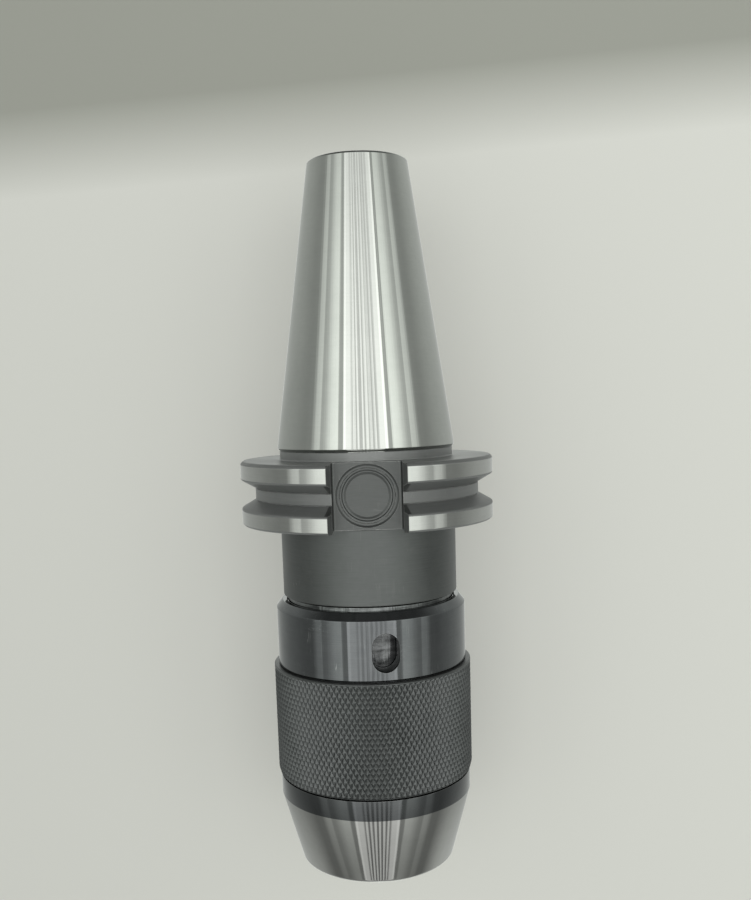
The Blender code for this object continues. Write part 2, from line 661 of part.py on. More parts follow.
def make_jaw_mesh(cutters):
    """One jaw with its tip at the origin: wedge flanks, a back rounded to the cone, a T-head on top."""
    half = 0.5 * JAW_WIDTH
    edge_half = 0.5 * JAW_EDGE_WIDTH
    flank_depth = (half - edge_half) / math.tan(math.pi / JAW_COUNT)
    rear = JAW_REAR_RADIUS - GRIP_RADIUS_OPEN
    jaw_top = JAW_HEAD_TOP_Z - JAW_TIP_Z
    shoulder = JAW_SHOULDER_Z - JAW_TIP_Z
    head_foot = JAW_HEAD_FOOT_Z - JAW_TIP_Z
    outline = [(0.0, -edge_half), (flank_depth, -half), (rear, -half)]
    outline += [(x, -y) for x, y in reversed(outline)]
    jaw = extruded("jaw_blank", outline, 0.0, jaw_top, cutters)

    back_centre = JAW_TIP_DEPTH - JAW_BACK_RADIUS / math.cos(JAW_ANGLE)
    back = rods("jaw_back", JAW_BACK_RADIUS, 4.0 * jaw_top, [Vector()], BODY_STEPS, cutters)
    back.matrix_world = Matrix.Translation((back_centre, 0.0, 0.0)) @ Matrix.Rotation(JAW_ANGLE, 4, "Y")
    cut(jaw, back, "INTERSECT")

    past = JAW_WIDTH
    relief_low = (JAW_HEAD_DEPTH, -past, shoulder)
    relief_high = (rear + past, past, jaw_top + past)
    cut(jaw, box("jaw_rear_relief", relief_low, relief_high, cutters))
    neck_half = 0.5 * JAW_NECK_WIDTH
    for side, (inner, outer) in (("left", (-past, -neck_half)), ("right", (neck_half, past))):
        low = (-past, inner, shoulder)
        high = (rear + past, outer, head_foot)
        cut(jaw, box(f"jaw_neck_{side}", low, high, cutters))
    chamfer = box("jaw_tip_chamfer", (0.0, -past, -past), (past, past, 0.0), cutters)
    chamfer_start = Matrix.Translation((JAW_TIP_DEPTH - JAW_TIP_CHAMFER, 0.0, 0.0))
    chamfer.matrix_world = chamfer_start @ Matrix.Rotation(-JAW_TIP_SLOPE, 4, "Y")
    cut(jaw, chamfer)
    mesh = evaluated_mesh(jaw)
    bpy.data.objects.remove(jaw, do_unlink=True)
    return mesh


def make_jaws(parts, cutters, sleeve_axis):
    """Three like jaws, each with its origin at its gripping edge's tip."""
    mesh = make_jaw_mesh(cutters)
    for number, angle in enumerate(spaced(JAW_COUNT, JAW_AZIMUTH), 1):
        jaw = link(f"jaw_{number}", mesh.copy(), parts)
        jaw.parent = sleeve_axis
        jaw.location = around(GRIP_RADIUS_OPEN, angle, JAW_TIP_Z)
        jaw.rotation_euler.z = angle
        finish_part(jaw, HARD_STEEL)


def make_jaw_screw(parts, cutters):
    """Left-hand screw whose disc holds the jaws in three radial T-slots."""
    profile = [
        (SCREW_STEM_RADIUS - SCREW_CHAMFER, STEM_TOP_Z),
        (SCREW_STEM_RADIUS, STEM_TOP_Z - SCREW_CHAMFER),
        (SCREW_STEM_RADIUS, SCREW_TOP_Z),
        (SCREW_RADIUS, SCREW_TOP_Z),
        (SCREW_RADIUS, SCREW_FOOT_Z),
        (0.0, SCREW_FOOT_Z),
        (0.0, STEM_TOP_Z),
    ]
    screw = turned("jaw_screw", profile, parts, INNER_STEPS, SCREW_FOOT_Z)
    neck_width = JAW_NECK_WIDTH + 2.0 * SEAT_GAP
    reach = SKIRT_BORE_RADIUS + SEAT_GAP
    below = SCREW_FOOT_Z - STOP_GAP
    lip_top = SCREW_FOOT_Z + SCREW_LIP
    for number, angle in enumerate(spaced(JAW_COUNT, JAW_AZIMUTH), 1):
        neck = f"screw_neck_slot_{number}"
        head = f"screw_head_slot_{number}"
        cut(screw, radial_slot(neck, neck_width, reach, below, lip_top + STOP_GAP, angle, cutters))
        cut(screw, radial_slot(head, GUIDE_SLOT_WIDTH, reach, lip_top, SCREW_PLATE_Z, angle, cutters))
    return finish_part(screw, HARD_STEEL)


def groove_points(face_z, towards_balls):
    """Points of a race's ball groove, from its outer lip to its inner one."""
    groove_radius = BALL_RADIUS + ROLLING_GAP
    reach = math.acos((groove_radius - BALL_NEST) / groove_radius)
    ball_z = face_z + towards_balls * (groove_radius - BALL_NEST)
    points = []
    for share in (1.0, 0.5, 0.0, -0.5, -1.0):
        angle = share * reach
        radius = BALL_PITCH_RADIUS + groove_radius * math.sin(angle)
        points.append((radius, ball_z - towards_balls * groove_radius * math.cos(angle)))
    return points


def make_race(name, face_z, towards_balls, parts):
    """Hardened bearing ring with a round groove in the face that looks at the balls."""
    back_z = face_z - towards_balls * RACE_THICKNESS
    groove = groove_points(face_z, towards_balls)
    face = [(RACE_RADIUS, face_z)] + groove + [(RACE_BORE_RADIUS, face_z)]
    back = [(RACE_BORE_RADIUS, back_z), (RACE_RADIUS, back_z)]
    profile = face + back
    if towards_balls > 0.0:
        profile.reverse()
    return finish_part(turned(name, profile, parts, INNER_STEPS, back_z), BEARING_STEEL)


def make_ball_cage(parts, cutters):
    """Brass ring with a pocket for every ball."""
    inner = RACE_BORE_RADIUS + CAGE_MARGIN
    outer = RACE_RADIUS - CAGE_MARGIN
    half = 0.5 * CAGE_THICKNESS
    profile = [(outer, BALL_Z + half), (outer, BALL_Z - half), (inner, BALL_Z - half), (inner, BALL_Z + half)]
    cage = turned("ball_cage", profile, parts, INNER_STEPS, BALL_Z)
    places = [around(BALL_PITCH_RADIUS, angle, BALL_Z) for angle in spaced(BALL_COUNT)]
    pocket_radius = BALL_RADIUS + POCKET_GAP
    pockets = rods("ball_pockets", pocket_radius, 2.0 * CAGE_THICKNESS, places, POCKET_STEPS, cutters)
    return finish_part(cut(cage, pockets), CAGE_BRASS)


def make_balls(parts, cage_axis):
    """Steel balls that roll between the races."""
    shape = bmesh.new()
    bmesh.ops.create_icosphere(shape, subdivisions=BALL_SPLIT_STEPS, radius=BALL_RADIUS)
    mesh = bpy.data.meshes.new("ball")
    shape.to_mesh(mesh)
    shape.free()
    for number, angle in enumerate(spaced(BALL_COUNT), 1):
        ball = link(f"ball_{number:02d}", mesh.copy(), parts)
        ball.parent = cage_axis
        ball.location = around(BALL_PITCH_RADIUS, angle, BALL_Z)
        finish_part(ball, BEARING_STEEL)


def make_thrust_nut(parts, cutters):
    """Round nut on the skirt that holds the bearing up, with notches for a face spanner."""
    nut_radius = RACE_BORE_RADIUS + NUT_WIDTH
    profile = [
        (nut_radius, NUT_TOP_Z),
        (nut_radius, NUT_FOOT_Z),
        (RACE_BORE_RADIUS, NUT_FOOT_Z),
        (RACE_BORE_RADIUS, NUT_TOP_Z),
    ]
    nut = turned("thrust_nut", profile, parts, INNER_STEPS, NUT_FOOT_Z)
    half = 0.5 * NUT_NOTCH_WIDTH
    for number, angle in enumerate(spaced(NUT_NOTCH_COUNT, NUT_NOTCH_AZIMUTH), 1):
        low = (SKIRT_RADIUS, -half, NUT_FOOT_Z - NUT_NOTCH_DEPTH)
        high = (nut_radius + half, half, NUT_FOOT_Z + NUT_NOTCH_DEPTH)
        notch = box(f"nut_notch_{number}", low, high, cutters)
        notch.rotation_euler.z = angle
        cut(nut, notch)
    return finish_part(nut, HARD_STEEL)


def make_axis(name, collection):
    """An empty on the chuck's axis, which the pieces that turn together are parented to."""
    axis = bpy.data.objects.new(name, None)
    axis.empty_display_size = FLANGE_RADIUS
    collection.objects.link(axis)
    return axis


def main():
    clear_scene()
    parts = new_collection("keyless_drill_chuck")
    cutters = new_collection("cutters")
    sleeve_axis = make_axis("sleeve_axis", parts)
    cage_axis = make_axis("cage_axis", parts)

    make_shank(parts, cutters)
    make_dust_seal(parts)
    make_thrust_nut(parts, cutters)
    make_race("front_race", BALL_Z - RACE_FACE_OFFSET, 1.0, parts)

    turning = [
        make_spanner_sleeve(parts, cutters),
        make_knurled_sleeve(parts),
        make_nose_cone(parts),
        make_jaw_guide(parts, cutters),
        make_race("rear_race", BALL_Z + RACE_FACE_OFFSET, -1.0, parts),
        make_jaw_screw(parts, cutters),
    ]
    for piece in turning:
        piece.parent = sleeve_axis
    make_jaws(parts, cutters, sleeve_axis)

    cage = make_ball_cage(parts, cutters)
    cage.parent = cage_axis
    make_balls(parts, cage_axis)


main()
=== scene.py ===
"""Keyless drill chuck on a steep-taper V-flange shank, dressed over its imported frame."""

import logging
import math
from collections.abc import Callable, Iterator
from contextlib import contextmanager
from dataclasses import dataclass, field
from enum import Enum, IntEnum

import bmesh
import bpy
from mathutils import Matrix, Vector


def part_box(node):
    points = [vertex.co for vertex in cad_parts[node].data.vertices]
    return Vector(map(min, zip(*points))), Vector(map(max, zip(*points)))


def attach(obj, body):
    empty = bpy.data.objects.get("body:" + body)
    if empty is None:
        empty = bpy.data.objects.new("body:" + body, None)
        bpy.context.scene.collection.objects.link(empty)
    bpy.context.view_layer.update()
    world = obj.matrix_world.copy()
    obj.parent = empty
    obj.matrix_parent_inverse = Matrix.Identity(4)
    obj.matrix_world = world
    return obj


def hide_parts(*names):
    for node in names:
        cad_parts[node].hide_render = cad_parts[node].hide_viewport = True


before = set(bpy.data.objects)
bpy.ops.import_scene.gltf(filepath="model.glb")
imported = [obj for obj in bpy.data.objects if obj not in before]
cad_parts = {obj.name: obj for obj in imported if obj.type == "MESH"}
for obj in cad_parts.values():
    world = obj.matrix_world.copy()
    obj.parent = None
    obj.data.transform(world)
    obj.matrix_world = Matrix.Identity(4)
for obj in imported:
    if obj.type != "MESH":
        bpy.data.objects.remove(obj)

MM = 0.001
FINE_STEPS = 256
WELD = 0.002 * MM
SNAP = 1e-7
ON_AXIS = 0.01 * MM
NEAR = 0.1 * MM
SHARP_ANGLE = math.radians(28.0)
# A normal along the axis, and one straight away from it, have at least this much of 1
FLAT = 0.95
OUTWARD = 0.99
# A rounding takes at most this share of a side
MOST_REACH = 0.4
# Beside each rounding a further ring, at this share of its reach, keeps the straight side's shading
HOLD = 1.12
# Levels in the studio's ramps are divided by this, to stay near the range of a colour
RAMP_SCALE = 2.0

Profile = list[tuple[float, float]]
FacePick = Callable[[Vector, Vector], int]
Ring = list[tuple[float, float, float]]
Colour = tuple[float, float, float]
Stops = tuple[tuple[float, float], ...]
Socket = bpy.types.NodeSocket

log = logging.getLogger("chuck")


class Body(Enum):
    """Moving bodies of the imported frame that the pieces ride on."""

    SHANK = "shank"
    SLEEVE = "sleeve"


class ShankZone(IntEnum):
    """Material slots of the shank, in their order."""

    TAPER = 0
    RIM = 1
    NECK = 2
    GROOVE = 3
    JOURNAL = 4
    BORE = 5
    SLOT = 6
    FACE = 7


class SleeveZone(IntEnum):
    """Material slots of the spanner sleeve, in their order."""

    OUTSIDE = 0
    BORE = 1
    HOLE = 2


class NoseZone(IntEnum):
    """Material slots of the nose, in their order."""

    CONE = 0
    BAND = 1
    BORE = 2


class Graph:
    """A small helper that adds nodes to a tree and links values or sockets into them."""

    def __init__(self, tree: bpy.types.NodeTree) -> None:
        """Keeps the tree that nodes are added to."""
        self.tree = tree

    def node(self, kind: str, **settings: object) -> bpy.types.Node:
        """Adds a node and sets its properties.

        Args:
            kind: Blender's type name of the node.
            settings: Properties of the node.

        Returns:
            The new node.
        """
        made = self.tree.nodes.new(kind)
        for key, value in settings.items():
            setattr(made, key, value)
        return made

    def feed(self, target: Socket, source: object) -> None:
        """Links a socket, or writes a plain value, into an input.

        Args:
            target: The input.
            source: A socket or a plain value.
        """
        if isinstance(source, bpy.types.NodeSocket):
            self.tree.links.new(source, target)
        else:
            target.default_value = source

    def fed(self, kind: str, inputs: dict[int | str, object], **settings: object) -> bpy.types.Node:
        """Adds a node and feeds its inputs.

        Args:
            kind: Blender's type name of the node.
            inputs: Sockets or plain values by the number or name of the input.
            settings: Properties of the node.

        Returns:
            The new node.
        """
        made = self.node(kind, **settings)
        for key, source in inputs.items():
            self.feed(made.inputs[key], source)
        return made

    def place(self) -> Socket:
        """Object coordinates."""
        return self.node("ShaderNodeTexCoord").outputs["Object"]

    def split(self, vector: Socket) -> tuple[Socket, Socket, Socket]:
        """The x, y and z of a vector."""
        return tuple(self.fed("ShaderNodeSeparateXYZ", {0: vector}).outputs)

    def join(self, x: object, y: object, z: object) -> Socket:
        """A vector of three values or sockets."""
        return self.fed("ShaderNodeCombineXYZ", {0: x, 1: y, 2: z}).outputs[0]

    def scale(self, vector: Socket, factor: object) -> Socket:
        """A vector times a factor."""
        inputs = {0: vector, "Scale": factor}
        return self.fed("ShaderNodeVectorMath", inputs, operation="SCALE").outputs[0]

    def math(self, operation: str, *values: object) -> Socket:
        """Adds a Math node.

        Args:
            operation: Blender's name of the operation.
            values: Sockets or numbers for its inputs.

        Returns:
            The node's output.
        """
        inputs = dict(enumerate(values))
        return self.fed("ShaderNodeMath", inputs, operation=operation).outputs[0]

    def ramp(self, factor: Socket, stops: list[tuple[float, float]]) -> Socket:
        """Adds a grey ramp.

        Args:
            factor: Place along the ramp.
            stops: Pairs of place and grey level.

        Returns:
            The ramp's colour output.
        """
        made = self.fed("ShaderNodeValToRGB", {"Fac": factor})
        points = made.color_ramp.elements
        while len(points) < len(stops):
            points.new(0.5)
        for point, (place, level) in zip(points, stops):
            point.position = place
            point.color = (level, level, level, 1.0)
        return made.outputs["Color"]

    def spread(self, value: Socket, low: float, high: float, start: object, end: object) -> Socket:
        """Maps a value from one range to another and clamps it there.

        Args:
            value: The value.
            low: Low end of its range.
            high: High end of its range.
            start: Result at the low end.
            end: Result at the high end.

        Returns:
            The mapped value.
        """
        inputs = {
            "Value": value, "From Min": low, "From Max": high, "To Min": start, "To Max": end,
        }
        return self.fed("ShaderNodeMapRange", inputs).outputs["Result"]

    def mix(self, factor: object, first: object, second: object) -> Socket:
        """Mixes two colours.

        Args:
            factor: Share of the second colour.
            first: First colour.
            second: Second colour.

        Returns:
            The mixed colour.
        """
        inputs = {0: factor, 6: first, 7: second}
        return self.fed("ShaderNodeMix", inputs, data_type="RGBA").outputs[2]

    def noise(self, vector: Socket, scale: float, detail: float, roughness: float = 0.5) -> Socket:
        """Adds a noise texture.

        Args:
            vector: Where it is read.
            scale: Its scale.
            detail: Octaves.
            roughness: Weight of the finer octaves.

        Returns:
            The noise value.
        """
        inputs = {"Vector": vector, "Scale": scale, "Detail": detail, "Roughness": roughness}
        return self.fed("ShaderNodeTexNoise", inputs).outputs["Fac"]


def new_group(
    name: str, inputs: dict[str, float], output: str
) -> tuple[Graph, bpy.types.NodeOutputs, Socket]:
    """Starts a shader node group of float sockets.

    Args:
        name: The group's name.
        inputs: Names of its inputs with their default values.
        output: Name of its output.

    Returns:
        The graph, the sockets that give the group's inputs, and the one that takes its output.
    """
    tree = bpy.data.node_groups.new(name, "ShaderNodeTree")
    for key, value in inputs.items():
        made = tree.interface.new_socket(key, in_out="INPUT", socket_type="NodeSocketFloat")
        made.default_value = value
    tree.interface.new_socket(output, in_out="OUTPUT", socket_type="NodeSocketFloat")
    graph = Graph(tree)
    given = graph.node("NodeGroupInput").outputs
    return graph, given, graph.node("NodeGroupOutput").inputs[output]


def round_coordinates(graph: Graph) -> tuple[Socket, Socket, Socket, Socket]:
    """Splits the object coordinates into a unit circle place, a radius and a height.

    Args:
        graph: The tree that the nodes go into.

    Returns:
        Cosine and sine of the azimuth, the radius and the height.
    """
    x, y, z = graph.split(graph.place())
    square = graph.math("ADD", graph.math("MULTIPLY", x, x), graph.math("MULTIPLY", y, y))
    radius = graph.math("MAXIMUM", graph.math("SQRT", square), 1e-5)
    return graph.math("DIVIDE", x, radius), graph.math("DIVIDE", y, radius), radius, z


def build_turning_group() -> bpy.types.NodeTree:
    """Fine lines that run round the axis, as grinding and turning leave them.

    Returns:
        The node group.
    """
    graph, given, result = new_group("turning_lines", {"Lines": 9000.0, "Around": 3.0}, "Value")
    cosine, sine, radius, height = round_coordinates(graph)
    along = graph.math("MULTIPLY", graph.math("ADD", height, radius), given["Lines"])
    x, y = (graph.math("MULTIPLY", part, given["Around"]) for part in (cosine, sine))
    graph.feed(result, graph.noise(graph.join(x, y, along), 1.0, 4.0, 0.65))
    return graph.tree


def build_wave_group() -> bpy.types.NodeTree:
    """Shallow facets round the axis that run the whole length, as centreless grinding leaves them.

    Returns:
        The node group.
    """
    graph, given, result = new_group("grinding_waves", {"Waves": 40.0, "Drift": 4.0}, "Value")
    cosine, sine, _, height = round_coordinates(graph)
    along = graph.math("MULTIPLY", height, given["Drift"])
    x, y = (graph.math("MULTIPLY", part, given["Waves"]) for part in (cosine, sine))
    graph.feed(result, graph.noise(graph.join(x, y, along), 1.0, 2.0))
    return graph.tree


def build_scratch_group() -> bpy.types.NodeTree:
    """Sparse thin scratches in two slanted directions.

    Returns:
        The node group.
    """
    graph, given, result = new_group("thin_scratches", {"Amount": 0.3}, "Mask")
    place = graph.place()
    masks = []
    for turn, stretch in ((0.35, (900.0, 900.0, 45.0)), (-0.9, (70.0, 900.0, 900.0))):
        inputs = {"Vector": place, "Rotation": (0.2, turn, 0.4 * turn), "Scale": stretch}
        mapping = graph.fed("ShaderNodeMapping", inputs)
        value = graph.noise(mapping.outputs[0], 1.0, 1.0, 0.4)
        ridge = graph.math("ABSOLUTE", graph.math("SUBTRACT", value, 0.5))
        line = graph.spread(ridge, 0.0, 0.012, 1.0, 0.0)
        patch = graph.spread(graph.noise(place, 160.0 + 60.0 * turn, 2.0), 0.56, 0.66, 0.0, 1.0)
        masks.append(graph.math("MULTIPLY", line, patch))
    both = graph.math("MAXIMUM", *masks)
    graph.feed(result, graph.math("MULTIPLY", both, given["Amount"]))
    return graph.tree


def build_wear_group() -> bpy.types.NodeTree:
    """Mask of outer edges, broken up by a fine noise.

    Returns:
        The node group.
    """
    graph, given, result = new_group("edge_wear", {"Width": 0.0003, "Amount": 0.6}, "Mask")
    bevel = graph.fed("ShaderNodeBevel", {"Radius": given["Width"]}, samples=6)
    normal = graph.node("ShaderNodeNewGeometry").outputs["Normal"]
    inputs = {0: bevel.outputs[0], 1: normal}
    dot = graph.fed("ShaderNodeVectorMath", inputs, operation="DOT_PRODUCT")
    turned_away = graph.math("SUBTRACT", 1.0, dot.outputs["Value"])
    chips = graph.spread(graph.noise(graph.place(), 700.0, 4.0, 0.6), 0.35, 0.7, 0.2, 1.0)
    edge = graph.spread(turned_away, 0.01, 0.12, 0.0, 1.0)
    mask = graph.math("MULTIPLY", graph.math("MULTIPLY", edge, chips), given["Amount"])
    graph.feed(result, mask)
    return graph.tree


def build_smudge_group() -> bpy.types.NodeTree:
    """Soft patches of oil and handling at two scales.

    Returns:
        The node group.
    """
    graph, given, result = new_group("handling_smudges", {"Scale": 60.0}, "Value")
    place = graph.scale(graph.place(), given["Scale"])
    broad, fine = (graph.noise(place, scale, 3.0, 0.6) for scale in (1.0, 9.0))
    both = graph.math("ADD", graph.math("MULTIPLY", broad, 0.7), graph.math("MULTIPLY", fine, 0.3))
    graph.feed(result, both)
    return graph.tree


@dataclass
class EffectGroups:
    """The shader node groups that the finishes share."""

    turning: bpy.types.NodeTree = field(default_factory=build_turning_group)
    waves: bpy.types.NodeTree = field(default_factory=build_wave_group)
    scratches: bpy.types.NodeTree = field(default_factory=build_scratch_group)
    wear: bpy.types.NodeTree = field(default_factory=build_wear_group)
    smudges: bpy.types.NodeTree = field(default_factory=build_smudge_group)

    @staticmethod
    def place(graph: Graph, tree: bpy.types.NodeTree, **values: float) -> Socket:
        """Puts a group into a material.

        Args:
            graph: The material's tree.
            tree: The group.
            values: Its inputs by name.

        Returns:
            The group's output.
        """
        return graph.fed("ShaderNodeGroup", values, node_tree=tree).outputs[0]


EFFECTS = EffectGroups()


@dataclass(frozen=True)
class SurfaceFinish:
    """One finish of the chuck, with the marks that its making and its use leave; the colours of a
    few finishes also hold painted light or shade.

    Colours are linear. Heights are in metres.
    """

    name: str
    colour: Colour
    dark_colour: Colour
    metallic: float
    roughness: tuple[float, float]
    lines: float = 9000.0
    line_height: float = 0.0
    waves: float = 0.0
    wave_height: float = 0.0
    anisotropic: float = 0.0
    wear_colour: Colour = (0.45, 0.45, 0.44)
    wear_amount: float = 0.0
    wear_width: float = 0.25 * MM
    scratch_amount: float = 0.0
    smudge_scale: float = 60.0
    grain_height: float = 0.0
    grain_scale: float = 4000.0

    def material(self) -> bpy.types.Material:
        """Makes the finish's material, or finds it when it is made already.

        Returns:
            The material.
        """
        found = bpy.data.materials.get(self.name)
        if found:
            return found
        made = bpy.data.materials.new(self.name)
        made.use_nodes = True
        graph = Graph(made.node_tree)
        shader = made.node_tree.nodes["Principled BSDF"]
        smudge = EFFECTS.place(graph, EFFECTS.smudges, Scale=self.smudge_scale)
        lines = EFFECTS.place(graph, EFFECTS.turning, Lines=self.lines)
        streaks = graph.math("MULTIPLY", lines, 0.4)
        tone = graph.math("ADD", graph.math("MULTIPLY", smudge, 0.6), streaks)
        tone = graph.spread(tone, 0.36, 0.64, 0.0, 1.0)
        colour = graph.mix(tone, (*self.dark_colour, 1.0), (*self.colour, 1.0))
        if self.scratch_amount:
            scratch = EFFECTS.place(graph, EFFECTS.scratches, Amount=self.scratch_amount)
            colour = graph.mix(scratch, colour, (*self.wear_colour, 1.0))
        if self.wear_amount:
            inputs = {"Width": self.wear_width, "Amount": self.wear_amount}
            worn = EFFECTS.place(graph, EFFECTS.wear, **inputs)
            colour = graph.mix(worn, colour, (*self.wear_colour, 1.0))
        graph.feed(shader.inputs["Base Color"], colour)
        shader.inputs["Metallic"].default_value = self.metallic
        rough = graph.spread(smudge, 0.35, 0.65, *self.roughness)
        graph.feed(shader.inputs["Roughness"], rough)
        self.add_bump(graph, shader, lines)
        if self.anisotropic:
            shader.inputs["Anisotropic"].default_value = self.anisotropic
            shader.inputs["Anisotropic Rotation"].default_value = 0.25
            tangent = graph.node("ShaderNodeTangent", direction_type="RADIAL", axis="Z")
            graph.feed(shader.inputs["Tangent"], tangent.outputs[0])
        made.diffuse_color = (*self.colour, 1.0)
        return made

    def add_bump(self, graph: Graph, shader: bpy.types.Node, lines: Socket) -> None:
        """Adds the heights of the finish to its normal.

        Args:
            graph: The material's tree.
            shader: Its Principled BSDF.
            lines: Output of the turning lines.
        """
        normal = None
        layers = []
        if self.line_height:
            layers.append((lines, self.line_height))
        if self.wave_height:
            layers.append((EFFECTS.place(graph, EFFECTS.waves, Waves=self.waves), self.wave_height))
        if self.grain_height:
            grain = graph.noise(graph.place(), self.grain_scale, 3.0, 0.6)
            layers.append((grain, self.grain_height))
        for height, depth in layers:
            bump = graph.fed("ShaderNodeBump", {"Distance": depth, "Height": height})
            if normal:
                graph.feed(bump.inputs["Normal"], normal)
            normal = bump.outputs[0]
        if normal:
            graph.feed(shader.inputs["Normal"], normal)


TAPER_STEEL = SurfaceFinish(
    "ground_taper", (0.450, 0.461, 0.439), (0.400, 0.411, 0.392), 1.0, (0.055, 0.075),
    lines=14000.0, line_height=0.0002 * MM, waves=44.0, wave_height=0.007 * MM, anisotropic=0.95,
)
RIM_STEEL = SurfaceFinish(
    "ground_rim", (0.45, 0.455, 0.44), (0.39, 0.395, 0.38), 1.0, (0.07, 0.10),
    lines=9000.0, line_height=0.0003 * MM, waves=52.0, wave_height=0.005 * MM, anisotropic=0.95,
    scratch_amount=0.12, wear_colour=(0.30, 0.30, 0.29),
)
# Painted shade: colours darker than the taper's ground steel, for the dimmer light that reaches the
# nose
NOSE_STEEL = SurfaceFinish(
    "ground_nose", (0.385, 0.385, 0.375), (0.335, 0.335, 0.325), 1.0, (0.05, 0.07),
    lines=12000.0, line_height=0.0002 * MM, waves=44.0, wave_height=0.002 * MM, anisotropic=0.95,
    scratch_amount=0.12, wear_colour=(0.26, 0.26, 0.25),
)
NECK_BLACK = SurfaceFinish(
    "blacked_neck", (0.118, 0.124, 0.122), (0.088, 0.093, 0.091), 0.85, (0.36, 0.46),
    lines=6000.0, line_height=0.0005 * MM, wear_amount=0.6, scratch_amount=0.2,
    wear_colour=(0.34, 0.34, 0.33), grain_height=0.0004 * MM,
)
COLLAR_BLACK = SurfaceFinish(
    "blacked_collar", (0.135, 0.141, 0.145), (0.100, 0.105, 0.109), 0.95, (0.06, 0.09),
    lines=7000.0, line_height=0.0003 * MM, waves=40.0, wave_height=0.005 * MM, anisotropic=0.92,
    wear_amount=0.7, scratch_amount=0.4, wear_colour=(0.36, 0.37, 0.37),
)
KNURL_BLACK = SurfaceFinish(
    "blacked_knurl", (0.115, 0.120, 0.120), (0.072, 0.076, 0.076), 0.8, (0.30, 0.42),
    lines=2500.0, wear_amount=0.55, wear_width=0.12 * MM, wear_colour=(0.27, 0.28, 0.28),
    smudge_scale=45.0, grain_height=0.001 * MM,
)
BAND_BLACK = SurfaceFinish(
    "blacked_band", (0.100, 0.104, 0.106), (0.078, 0.082, 0.085), 0.95, (0.07, 0.11),
    lines=6000.0, line_height=0.0003 * MM, waves=40.0, wave_height=0.003 * MM, anisotropic=0.92,
    wear_amount=0.6,
)
# Painted light: lighter than the neck's black, to lift the shade in the V-groove and on the
# flange's other faces that are not ground
GROOVE_BLACK = SurfaceFinish(
    "blacked_groove_painted_light", (0.166, 0.170, 0.168), (0.124, 0.128, 0.126), 0.25, (0.32, 0.44),
    lines=5000.0, line_height=0.0015 * MM, wear_amount=0.6, scratch_amount=0.15,
)
# Painted light: a lighter grey than the neck's black, on the shank's faces that point up towards
# the taper and on the relief under it
FACE_BLACK = SurfaceFinish(
    "blacked_face_painted_light", (0.225, 0.230, 0.227), (0.170, 0.175, 0.172), 0.30, (0.30, 0.42),
    lines=5000.0, line_height=0.0012 * MM, wear_amount=0.6, scratch_amount=0.15,
)
SLOT_BLACK = SurfaceFinish(
    "milled_slot", (0.106, 0.110, 0.108), (0.076, 0.080, 0.078), 0.75, (0.30, 0.42),
    lines=5000.0, line_height=0.0010 * MM, wear_amount=0.8, scratch_amount=0.1,
)
# Painted shade: darker than the collar's black, for the shade on the spanner hole's wall
HOLE_BLACK = SurfaceFinish(
    "hole_wall_painted_shade", (0.075, 0.078, 0.079), (0.035, 0.037, 0.038), 0.7, (0.14, 0.24),
    lines=3000.0, line_height=0.002 * MM,
)
# Oiled steel whose colours are darkened as painted shade, for the journal seen inside the sleeve
# through the spanner hole
JOURNAL_STEEL = SurfaceFinish(
    "oiled_journal_painted_shade", (0.16, 0.165, 0.167), (0.022, 0.023, 0.023), 1.0, (0.06, 0.12),
    lines=900.0, line_height=0.010 * MM, waves=46.0, wave_height=0.060 * MM, smudge_scale=420.0,
)
BORE_STEEL = SurfaceFinish(
    "bored_steel", (0.36, 0.36, 0.35), (0.24, 0.24, 0.235), 1.0, (0.30, 0.45),
    lines=3500.0, line_height=0.006 * MM,
)
JAW_STEEL = SurfaceFinish(
    "hardened_jaw", (0.46, 0.46, 0.45), (0.34, 0.34, 0.335), 1.0, (0.24, 0.36),
    lines=5000.0, line_height=0.002 * MM, wear_amount=0.5, wear_colour=(0.66, 0.66, 0.64),
    scratch_amount=0.3,
)
SCREW_STEEL = SurfaceFinish(
    "oiled_screw", (0.30, 0.30, 0.29), (0.20, 0.20, 0.195), 1.0, (0.22, 0.34),
    lines=4000.0, line_height=0.004 * MM, wear_amount=0.4,
)
RACE_STEEL = SurfaceFinish(
    "lapped_race", (0.68, 0.68, 0.67), (0.58, 0.58, 0.57), 1.0, (0.08, 0.16),
    lines=16000.0, line_height=0.0005 * MM,
)
CAGE_BRASS = SurfaceFinish(
    "turned_cage", (0.60, 0.43, 0.17), (0.42, 0.29, 0.11), 1.0, (0.28, 0.42),
    lines=4000.0, line_height=0.003 * MM, wear_amount=0.4, wear_colour=(0.80, 0.62, 0.30),
)
SEAL_RUBBER = SurfaceFinish(
    "oiled_seal", (0.20, 0.21, 0.21), (0.030, 0.031, 0.031), 0.9, (0.04, 0.09),
    lines=2500.0, line_height=0.0004 * MM, waves=22.0, wave_height=0.09 * MM, smudge_scale=420.0,
)


def arc(start: Vector, corner: Vector, end: Vector, parts: int) -> list[Vector]:
    """Points of a smooth turn past a corner.

    Args:
        start: Where the turn leaves the first side.
        corner: The corner.
        end: Where it meets the second side.
        parts: Segments of the turn.

    Returns:
        The points, with both ends.
    """
    shares = [step / parts for step in range(parts + 1)]
    return [start.lerp(corner, share).lerp(corner.lerp(end, share), share) for share in shares]


